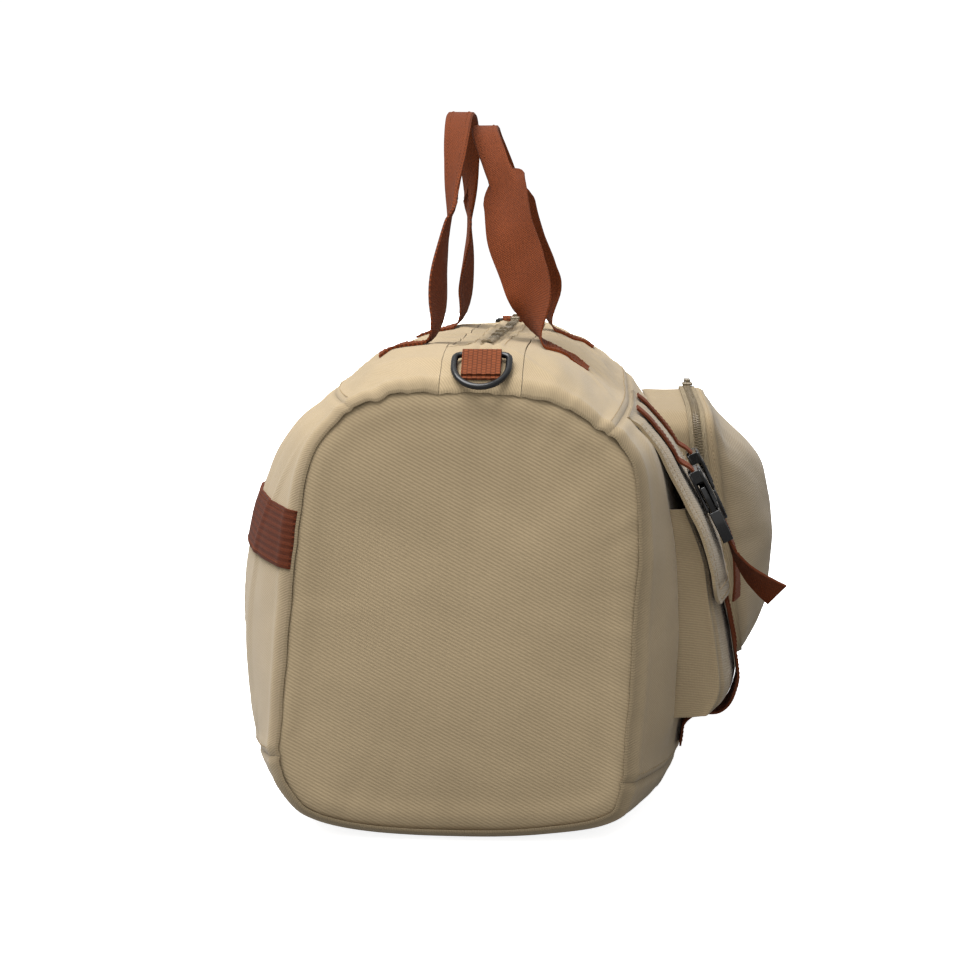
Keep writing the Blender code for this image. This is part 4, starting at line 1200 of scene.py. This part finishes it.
def pouch_place(s, t, w):
    da = spaced(TRAY_A, s)
    a = POUCH_A[0] + da
    z = spaced(TRAY_Z, t)
    k = min(spaced(TRAY_K, s), spaced(TRAY_KZ, t))
    full = along_flap(POUCH_OFF, z, a)
    off = max(k * full, 0.0007)
    d_edge = min(da, 0.190 - da)
    d_top = 0.213 - z
    body_part = smooth((k - 0.9) / 0.1)
    off += body_part * (
        0.0016 * n2(a / 0.055, z / 0.040, 21.0) * smooth(d_edge / 0.02)
        + 0.0009 * n2(a / 0.020, z / 0.030, 22.0) * math.exp(-d_edge / 0.03)
        - 0.0011 * bell(d_edge - 0.0035, 0.0018)
        + 0.0005 * smooth((0.016 - d_top) / 0.001)
    )
    # the side walls cave in a little between their seams
    wall = smooth((0.96 - k) / 0.2) * math.sin(math.pi * clamp(k)) if k < 1 else 0.0
    a += 0.0022 * wall * (1 if s < 0.5 else -1) * smooth((0.20 - z) / 0.02)
    z += 0.0014 * wall * (1 if t > 0.9 else 0)
    if w > 0.5:
        mid = sum(POUCH_A) / 2
        a += CLOTH * smooth((abs(a - mid) - 0.040) / 0.045) * (1 if a < mid else -1)
        z += CLOTH * smooth((0.110 - z) / 0.030)
        off = max(off - CLOTH, 0.0004)
    return world(a, front_u(z, a) + off, z)


# mask for painted shade and dirt at the pouch's front seams and in the corner where its walls meet the bag
def pouch_seam_shade_and_dirt(s, t):
    da = spaced(TRAY_A, s)
    d_edge = min(da, 0.190 - da)
    k = min(spaced(TRAY_K, s), spaced(TRAY_KZ, t))
    return max(bell(d_edge - 0.0035, 0.0016) * 0.8 * smooth((k - 0.9) / 0.1), bell(k, 0.10))


shell("pouch_cloth", 143, 110, pouch_place, M_POCKET_PAINTED_SHADE, "bag", ["pocket_bag"], seam=pouch_seam_shade_and_dirt, rounds=2, angle=70)
lines = [
    grid_line(pouch_place, [(s, t) for s in spread(0.30, 0.70, 90)], 0.0002) for t in (0.035, 0.075)
]
stitches("pouch_hem_stitching", lines, M_THREAD, "bag")


def ribbon(name, points, a_centre, material, body, nodes, width=NARROW_WEB, thick=0.0015, skew=None, count=40, stitched=True, lean=0.0):
    """Webbing along a smooth line through (u, z) points in metres."""
    centre = [spline(points, i / count) for i in range(count + 1)]

    def frame_at(i):
        before, after = centre[max(i - 1, 0)], centre[min(i + 1, count)]
        d = Vector((0, -(after[0] - before[0]), after[1] - before[1])).normalized()
        wide = Vector((1, 0, 0))
        if skew:
            wide = Matrix.Rotation(math.radians(spaced(skew, i / count)), 3, d) @ wide
        n = wide.cross(d).normalized()
        if n.y > 0:
            n = -n
        return world(a_centre + lean * (i / count), *centre[i]), wide, n

    def place(s, t, w):
        i = round(s * count)
        at, wide, n = frame_at(i)
        v = 2 * t - 1
        wobble = 0.0003 * n2(i / 6.0, t * 2, hash_of(name))
        return at + wide * width * v / 2 + n * (thick * (0.5 - w) + wobble - 0.0002 * abs(v) ** 3)

    obj = shell(name, count, 10, place, material, body, nodes)
    if stitched:
        lines = [grid_line(place, [(s, t) for s in spread(0.02, 0.98, 40)], 0.0001) for t in (0.09, 0.91)]
        stitches(name + "_stitching", lines, M_RUST_THREAD, body, pitch=0.003, length=0.0021, thick=0.00028)
    return obj


def hash_of(word):
    return float(sum(ord(c) * (i + 1) for i, c in enumerate(word)) % 97)


def flap_line(z, a, off):
    p = flap_point(flap_sag(z, a), a, off)
    return MID_Y - p.y, p.z


def buckle_frame(a):
    top = flap_line(0.2315, a, 0)
    low = flap_line(0.1840, a, 0)
    p, q = world(a, *top), world(a, *low)
    along = (q - p).normalized()
    out = Vector((-1, 0, 0)).cross(along).normalized()
    if out.y > 0:
        out = -out
    mid = world(a, *flap_line(0.207, a, 0))
    bow = max((mid - p).dot(out), 0.0)
    return p + out * (bow + GAP + 0.0008), along, out


BUCKLE_W, BUCKLE_T = 0.0320, 0.0090
SOCKET_L, PLUG_L = 0.0300, 0.0230
for word, a in zip(("left", "right"), STRAP_A):
    at, along, out = buckle_frame(a)
    bar = at + along * 0.0022 + out * BUCKLE_T * 0.52
    zs = [0.2775, 0.271, 0.263, 0.254, 0.246, 0.2405]
    line = [flap_line(z, a, 0.0016 - 0.0016 * (z > 0.277)) for z in zs]
    line.append(((MID_Y - bar.y + line[-1][0]) / 2 + 0.0008, (bar.z + line[-1][1]) / 2))
    line.append((MID_Y - bar.y, bar.z))
    ribbon(f"flap_strap_{word}_webbing", line, a, M_STRAP, "flap", [f"flap_strap_{word}"])
    up = []
    for z in (0.045, 0.053, 0.061):
        up.append((front_u(z, a) + 0.0022, z))
    up.append((front_u(0.0665, a) + 0.0095, 0.0672))
    up.append((pouch_u(0.074, a) - 0.0030, 0.0687))
    up.append((pouch_u(0.079, a) + 0.0018, 0.0750))
    for z in (0.085, 0.094, 0.110, 0.125, 0.138, 0.1475):
        up.append((pouch_u(z, a) + 0.0026, z))
    ribbon(f"pocket_strap_{word}_webbing", up, a, M_STRAP, "bag", [f"pocket_strap_{word}"], count=60)
    end = at + along * (SOCKET_L + PLUG_L + 0.0010) + out * (BUCKLE_T * 0.55)
    begin = at + along * (SOCKET_L + 0.0100) + out * (BUCKLE_T * 0.62)
    u0, z0 = MID_Y - end.y, end.z
    if word == "left":
        points = [
            (MID_Y - begin.y, begin.z), (u0, z0), (u0 + 0.0048, z0 - 0.0100), (u0 + 0.0110, z0 - 0.0190), (u0 + 0.0185, z0 - 0.0270),
            (u0 + 0.0265, z0 - 0.0335), (u0 + 0.0335, z0 - 0.0385),
        ]
        skew = [0, 0, -6, -16, -28, -40, -50]
    else:
        points = [
            (MID_Y - begin.y, begin.z), (u0, z0), (u0 + 0.0045, z0 - 0.0110), (u0 + 0.0080, z0 - 0.0230), (u0 + 0.0100, z0 - 0.0360),
            (u0 + 0.0108, z0 - 0.0490), (u0 + 0.0105, z0 - 0.0600),
        ]
        skew = [0, 0, 3, 6, 9, 12, 14]
    ribbon(f"strap_tail_{word}_webbing", points, a, M_STRAP, f"plug_{word}", [f"strap_tail_{word}"], skew=skew, count=48)


# ================================================================ buckles
def outline_solid(name, outline, low, high, at, along, out, material, body, nodes=(), bevel=0.0009, dome=0.0, segments=3):
    """A flat outline in the buckle's own plane, drawn up to a thickness, with rounded edges."""
    bm = bmesh.new()
    ring = [bm.verts.new((x, y, low)) for x, y in outline]
    face = bm.faces.new(ring)
    made = bmesh.ops.extrude_face_region(bm, geom=[face])
    for v in made["geom"]:
        if isinstance(v, bmesh.types.BMVert):
            v.co.z = high
    bmesh.ops.recalc_face_normals(bm, faces=bm.faces[:])
    mesh = bpy.data.meshes.new(name)
    bm.to_mesh(mesh)
    bm.free()
    mesh.materials.append(material)
    mesh.shade_smooth()
    obj = bpy.data.objects.new(name, mesh)
    bpy.context.scene.collection.objects.link(obj)
    step = obj.modifiers.new("edges", "BEVEL")
    step.width = bevel
    step.segments = segments
    step.limit_method = "ANGLE"
    step.angle_limit = math.radians(40)
    step.harden_normals = True
    y = out.cross(along)
    obj.matrix_world = Matrix.Translation(at) @ Matrix((along, y, out)).transposed().to_4x4()
    return settle(obj, body, nodes)


def mirror_outline(half):
    """A closed outline from its +Y half."""
    return half + [(x, -y) for x, y in reversed(half)]


for word, a in zip(("left", "right"), STRAP_A):
    at, along, out = buckle_frame(a)
    w = BUCKLE_W / 2
    socket_body, plug_body = "flap", f"plug_{word}"
    # socket: two waisted plates with side walls between them, open where the prongs show
    half = [(0.0, 0.0130), (0.0012, 0.0150), (0.0040, 0.0158), (0.0085, 0.0158), (0.0120, 0.0140),
            (0.0190, 0.0132), (0.0245, 0.0148), (0.0275, 0.0160), (0.0296, 0.0155), (0.0300, 0.0140)]
    plate = mirror_outline(half)
    outline_solid(f"buckle_socket_{word}_face", plate, BUCKLE_T - 0.0022, BUCKLE_T, at, along, out, M_BLACK, socket_body, [f"buckle_socket_{word}"], bevel=0.0010)
    outline_solid(f"buckle_socket_{word}_back", plate, 0.0, 0.0020, at, along, out, M_BLACK, socket_body, bevel=0.0007)
    # a raised panel on the face
    inner_half = [(0.0070, 0.0105), (0.0085, 0.0118), (0.0115, 0.0108), (0.0190, 0.0098), (0.0240, 0.0112), (0.0262, 0.0105)]
    outline_solid(f"buckle_socket_{word}_crown", mirror_outline(inner_half), BUCKLE_T - 0.0010, BUCKLE_T + 0.0006, at, along, out, M_BLACK, socket_body, bevel=0.0007)
    for sign in (1, -1):
        wall = [(0.0004, sign * 0.0135), (0.0004, sign * 0.0155), (0.0085, sign * 0.0155), (0.0105, sign * 0.0130), (0.0060, sign * 0.0128)]
        outline_solid(f"buckle_socket_{word}_wall_{'a' if sign > 0 else 'b'}", wall[::sign], 0.0012, BUCKLE_T - 0.0012, at, along, out, M_BLACK, socket_body, bevel=0.0004)
    bar = [(0.0008, -0.0145), (0.0030, -0.0145), (0.0030, 0.0145), (0.0008, 0.0145)]
    outline_solid(f"buckle_socket_{word}_bar", bar, 0.0014, BUCKLE_T - 0.0014, at, along, out, M_BLACK, socket_body, bevel=0.0008)

    # plug: ladder frame for the webbing, and two sprung prongs whose shoulders show at the socket's sides
    p0 = SOCKET_L + 0.0005
    frame_half = [(p0, 0.0150), (p0 + 0.0015, 0.0160), (p0 + PLUG_L - 0.0030, 0.0160), (p0 + PLUG_L - 0.0008, 0.0150), (p0 + PLUG_L, 0.0135)]
    for sign in (1, -1):
        rail = [(p0, 0.0128), (p0, 0.0152), (p0 + 0.0015, 0.0160), (p0 + PLUG_L - 0.0030, 0.0160), (p0 + PLUG_L - 0.0006, 0.0150), (p0 + PLUG_L, 0.0128)]
        rail = [(x, sign * y) for x, y in rail][::-sign]
        outline_solid(f"buckle_plug_{word}_rail_{'a' if sign > 0 else 'b'}", rail, 0.0008, BUCKLE_T - 0.0008, at, along, out, M_BLACK, plug_body, [f"buckle_plug_{word}"] if sign > 0 else (), bevel=0.0008)
        prong = [(p0 + 0.0010, 0.0085), (p0 + 0.0010, 0.0150), (p0 - 0.0030, 0.0163), (p0 - 0.0080, 0.0170), (p0 - 0.0140, 0.0168), (p0 - 0.0180, 0.0150), (p0 - 0.0188, 0.0118), (p0 - 0.0150, 0.0104), (p0 - 0.0080, 0.0098)]
        prong = [(x, sign * y) for x, y in prong][::sign]
        outline_solid(f"buckle_plug_{word}_prong_{'a' if sign > 0 else 'b'}", prong, 0.0026, BUCKLE_T - 0.0026, at, along, out, M_BLACK, plug_body, bevel=0.0008)
    for i, (x, thick_x, z0, z1) in enumerate(((p0 + 0.0022, 0.0042, 0.0008, 0.0082), (p0 + 0.0130, 0.0030, 0.0012, 0.0048), (p0 + 0.0208, 0.0040, 0.0010, 0.0076))):
        bar = [(x - thick_x / 2, -0.0140), (x + thick_x / 2, -0.0140), (x + thick_x / 2, 0.0140), (x - thick_x / 2, 0.0140)]
        outline_solid(f"buckle_plug_{word}_bar_{i}", bar, z0, z1, at, along, out, M_BLACK, plug_body, bevel=0.0009)
    stem = [(p0 + 0.001, -0.0030), (p0 + 0.001, 0.0030), (p0 - 0.0170, 0.0026), (p0 - 0.0185, 0.0015), (p0 - 0.0185, -0.0015), (p0 - 0.0170, -0.0026)]
    outline_solid(f"buckle_plug_{word}_stem", stem[::-1], 0.0030, BUCKLE_T - 0.0030, at, along, out, M_BLACK, plug_body, bevel=0.0005)


# ================================================================ box pocket
MID_A, MID_Z = sum(BOX_A) / 2, sum(BOX_Z) / 2
HALF_A, HALF_Z = (BOX_A[1] - BOX_A[0]) / 2, (BOX_Z[1] - BOX_Z[0]) / 2


def box_outline(x, y, by=0.0):
    """A place on the pocket's front, x and y from -1 to 1, with round corners, drawn in by a distance."""
    r = max(abs(x), abs(y), 1e-6)
    norm = max((abs(x / r) ** 9 + abs(y / r) ** 9) ** (1 / 9), 0.5)
    pull_in = 1 + (1 / norm - 1) * r**3
    return MID_A + (HALF_A - by) * x * pull_in, MID_Z + (HALF_Z - by) * y * pull_in


def rim_u(z):
    return 0.1575 + (0.256 - z) * 0.10


def seam_u(z):
    return rim_u(z) + 0.0135 + (0.256 - z) * 0.035


def box_edge(s):
    at = (s % 1.0) * 8
    if at <= 1:
        return at, -1
    if at <= 3:
        return 1, at - 2
    if at <= 5:
        return 4 - at, 1
    if at <= 7:
        return -1, 6 - at
    return at - 8, -1


def gather(s, seed):
    c = math.tau * s
    return noise.noise(Vector((math.cos(c) * 6, math.sin(c) * 6, seed)))


def gusset_place(s, t, w):
    x, y = box_edge(s)
    mid = math.sin(math.pi * t)
    by = CLOTH * w + 0.0016 * mid * (0.4 + gather(s, 31.0)) + 0.0008 * bell(t, 0.08)
    a, z = box_outline(x, y, by)
    base = front_u(z, a) + 0.0004
    return world(a, base + (rim_u(z) - 0.0004 - base) * t, z)


# the seam mask here is painted shade and dirt where the gusset meets the bag, and fainter at its rim
shell("zip_pocket_gusset_cloth", 320, 22, gusset_place, M_POCKET_PAINTED_SHADE, "bag", ["zip_pocket_gusset"], closed=True,
      seam=lambda s, t: max(bell(t, 0.07), 0.4 * bell(1 - t, 0.10)), angle=60)


def wall_place(s, t, w):
    """The door's outer half of the side wall, from the zip to the seam round the face."""
    x, y = box_edge(s)
    by = CLOTH * w - 0.0007 * math.sin(math.pi * t) + 0.0007 * gather(s, 37.0) * t + 0.0010 * bell(1 - t, 0.12)
    a, z = box_outline(x, y, by)
    return world(a, rim_u(z) + 0.0005 + (seam_u(z) - rim_u(z) - 0.0005) * t, z)


# the seam mask here is painted shade and dirt at the wall's seam to the face, and fainter by the zip
shell("zip_pocket_wall_cloth", 320, 12, wall_place, M_POCKET_PAINTED_SHADE, "box_door", ["zip_pocket_door"], closed=True,
      seam=lambda s, t: max(bell(1 - t, 0.12), 0.4 * bell(t, 0.15)), angle=60)


def face_place(s, t, w):
    x, y = math.sin((s - 0.5) * math.pi) * 0.55 + (2 * s - 1) * 0.45, math.sin((t - 0.5) * math.pi) * 0.55 + (2 * t - 1) * 0.45
    r = max(abs(x), abs(y))
    a, z = box_outline(x, y, 0.0010)
    d = (1 - r) * 0.093
    bulge = (1 - abs(x) ** 2.6) * (1 - abs(y) ** 8)
    u = seam_u(z) + max(soft_table(BOX_FRONT, z * 1000, 1, 6.0) / 1000 - seam_u(z), 0.0) * bulge
    off = 0.0018 * smooth(d / 0.008) - 0.0010 * bell(d, 0.003)
    angle = math.atan2(y, x)
    off += 0.0014 * noise.noise(Vector((math.cos(angle) * 7, math.sin(angle) * 7, 41.0 + d * 9))) * math.exp(-d / 0.022) * smooth(d / 0.003)
    off += 0.0026 * n2(a / 0.055, z / 0.045, 43.0) * smooth(d / 0.02)
    off += 0.0012 * n2(a / 0.03 + z / 0.05, z / 0.03 - a / 0.06, 44.0) * smooth(d / 0.02)
    return world(a, u + off - CLOTH * w * smooth(d / 0.004 + 0.2), z)


# mask for painted shade and dirt round the pocket face's seam
def face_seam_shade_and_dirt(s, t):
    x, y = math.sin((s - 0.5) * math.pi) * 0.55 + (2 * s - 1) * 0.45, math.sin((t - 0.5) * math.pi) * 0.55 + (2 * t - 1) * 0.45
    return bell((1 - max(abs(x), abs(y))) * 0.093, 0.0028)


shell("zip_pocket_face_cloth", 110, 104, face_place, M_POCKET_PAINTED_SHADE, "box_door", seam=face_seam_shade_and_dirt, angle=60, planar=(0, 2))
line = [(wall_place(s, 0.72, 0.0), None) for s in spread(0, 1, 330)]
points = [p for p, _ in line]
line = []
for i, p in enumerate(points):
    out_from = Vector((p.x - (MID_A - LENGTH / 2), 0, p.z - MID_Z)).normalized()
    line.append((p, out_from))
stitches("zip_pocket_wall_stitching", [line], M_THREAD, "box_door")


def tape(name, low, high, body, node):
    def place(s, t, w):
        x, y = box_edge(0.165 + 0.67 * s)
        a, z = box_outline(x, y, -(0.0009 + 0.0011 * (1 - w)))
        return world(a, rim_u(z) + low + (high - low) * t, z)

    shell(name + "_tape", 220, 5, place, M_ZIPTAPE, body, [node])
    sign = 1 if high > 0.001 else -1
    vertices, faces = [], []
    count = 236
    for i in range(count):
        s = 0.165 + 0.67 * (i + (0.5 if sign > 0 else 0.0)) / count
        (x0, y0), (x1, y1) = box_edge(s - 0.0004), box_edge(s + 0.0004)
        p0, p1 = box_outline(x0, y0, -0.0022), box_outline(x1, y1, -0.0022)
        z_here = (p0[1] + p1[1]) / 2
        base = world((p0[0] + p1[0]) / 2, rim_u(z_here), z_here)
        d = (Vector((p1[0] - p0[0], 0, p1[1] - p0[1]))).normalized()
        n = Vector((d.z, 0, -d.x))
        if n.dot(base - world(MID_A, rim_u(z_here), MID_Z)) < 0:
            n = -n
        y = Vector((0, -sign, 0))
        for dd, h, half, up in ((-0.0002, 0.0003, 0.00040, 0.0009), (0.0010, 0.0006, 0.00040, 0.0011), (0.0024, 0.0004, 0.00040, 0.0010), (0.0031, 0.0, 0.00034, 0.0006)):
            for da, dz in ((-half, h - up / 2), (half, h - up / 2), (half, h + up / 2), (-half, h + up / 2)):
                vertices.append(base + d * da + n * dz + y * dd)
        f = len(vertices) - 16
        for k in range(3):
            for j in range(4):
                faces.append((f + 4 * k + j, f + 4 * k + (j + 1) % 4, f + 4 * k + 4 + (j + 1) % 4, f + 4 * k + 4 + j))
        faces += [(f, f + 3, f + 2, f + 1), (f + 12, f + 13, f + 14, f + 15)]
    coil = finish_mesh(name + "_coil", vertices, faces, M_TEETH, smooth_angle=60)
    bm = bmesh.new()
    bm.from_mesh(coil.data)
    bmesh.ops.recalc_face_normals(bm, faces=bm.faces[:])
    bm.to_mesh(coil.data)
    bm.free()
    settle(coil, body)


tape("pocket_zip_inner", -0.0065, -0.0002, "bag", "pocket_zip_inner")
tape("pocket_zip_outer", 0.0006, 0.0065, "box_door", "pocket_zip_outer")


# ================================================================ CAD pieces that keep their shape
for name, material in (
    ("main_slider", M_ZIPMETAL), ("main_pull", M_ZIPMETAL), ("pocket_slider", M_ZIPMETAL),
    ("pocket_pull", M_ZIPMETAL), ("base_board", M_BOARD),
):
    node = frame["nodes"][name]
    for slot_of in node.material_slots:
        slot_of.link = "OBJECT"
        slot_of.material = material
    if not node.material_slots:
        node.data.materials.append(material)
    step = node.modifiers.new("edges", "BEVEL")
    step.width = 0.0003 if name != "base_board" else 0.0006
    step.segments = 3
    step.limit_method = "ANGLE"
    step.angle_limit = math.radians(35)
    step.harden_normals = True


# ================================================================ floor, light
floor_mesh = bpy.data.meshes.new("floor")
floor_mesh.from_pydata([(-6, -6, 0), (6, -6, 0), (6, 6, 0), (-6, 6, 0)], [], [(0, 1, 2, 3)])
floor = bpy.data.objects.new("floor", floor_mesh)
bpy.context.scene.collection.objects.link(floor)
floor.location.z = -0.0004
n = Nodes("floor_white")
n.bsdf.inputs["Base Color"].default_value = (0.92, 0.92, 0.92, 1)
n.bsdf.inputs["Roughness"].default_value = 1.0
n.bsdf.inputs["Specular IOR Level"].default_value = 0.0
n.bsdf.inputs["Emission Color"].default_value = (1, 1, 1, 1)
n.bsdf.inputs["Emission Strength"].default_value = 0.85
# what the bag sees of the floor is duller than what the camera sees, so its lower half stays shaded
dull = n.add("ShaderNodeBsdfDiffuse")
dull.inputs["Color"].default_value = (0.20, 0.20, 0.20, 1)
floor_mix = n.add("ShaderNodeMixShader")
n.put(floor_mix.inputs[0], n.add("ShaderNodeLightPath").outputs["Is Camera Ray"])
n.put(floor_mix.inputs[1], dull.outputs[0])
n.put(floor_mix.inputs[2], n.bsdf.outputs[0])
n.put(n.tree.nodes["Material Output"].inputs["Surface"], floor_mix.outputs[0])
floor_mesh.materials.append(n.mat)

scene = bpy.context.scene
scene.view_settings.view_transform = "Standard"
scene.view_settings.look = "None"
world_data = bpy.data.worlds.new("studio")
scene.world = world_data
world_data.use_nodes = True
tree = world_data.node_tree
background = tree.nodes["Background"]
# a white room, brightest overhead and behind the camera, and darker towards -Y
spot = tree.nodes.new("ShaderNodeTexCoord")
split = tree.nodes.new("ShaderNodeSeparateXYZ")
tree.links.new(spot.outputs["Generated"], split.inputs[0])


def reach(operation, socket, factor):
    one = tree.nodes.new("ShaderNodeMath")
    one.operation = operation
    tree.links.new(socket, one.inputs[0])
    one.inputs[1].default_value = 0.0
    two = tree.nodes.new("ShaderNodeMath")
    two.operation = "MULTIPLY"
    tree.links.new(one.outputs[0], two.inputs[0])
    two.inputs[1].default_value = factor
    return two.outputs[0]


total = None
for socket in (
    reach("MINIMUM", split.outputs["X"], -0.42),
    reach("MAXIMUM", split.outputs["Z"], 0.30),
    reach("MINIMUM", split.outputs["Y"], 0.50),
    reach("MAXIMUM", split.outputs["Y"], -0.34),
):
    plus = tree.nodes.new("ShaderNodeMath")
    plus.operation = "ADD"
    tree.links.new(socket, plus.inputs[0])
    if total is None:
        plus.inputs[1].default_value = 0.60
    else:
        tree.links.new(total, plus.inputs[1])
    total = plus.outputs[0]
dim = tree.nodes.new("ShaderNodeBackground")
tree.links.new(total, dim.inputs["Strength"])
dim.inputs["Color"].default_value = (1, 1, 1, 1)
background.inputs["Color"].default_value = (1, 1, 1, 1)
background.inputs["Strength"].default_value = 1.05
path = tree.nodes.new("ShaderNodeLightPath")
choose = tree.nodes.new("ShaderNodeMixShader")
tree.links.new(path.outputs["Is Camera Ray"], choose.inputs[0])
tree.links.new(dim.outputs[0], choose.inputs[1])
tree.links.new(background.outputs[0], choose.inputs[2])
tree.links.new(choose.outputs[0], tree.nodes["World Output"].inputs["Surface"])


def area(name, at, target, size, power, size_y=None):
    data = bpy.data.lights.new(name, "AREA")
    data.energy = power
    data.size = size
    if size_y:
        data.shape = "RECTANGLE"
        data.size_y = size_y
    lamp = bpy.data.objects.new(name, data)
    bpy.context.scene.collection.objects.link(lamp)
    lamp.location = at
    lamp.rotation_euler = (Vector(target) - Vector(at)).to_track_quat("-Z", "Y").to_euler()


sun_data = bpy.data.lights.new("top_light", "SUN")
sun_data.energy = 4.6
sun_data.angle = math.radians(50)
sun = bpy.data.objects.new("top_light", sun_data)
bpy.context.scene.collection.objects.link(sun)
sun.rotation_euler = Vector((0.16, -0.34, -1.0)).to_track_quat("-Z", "Y").to_euler()
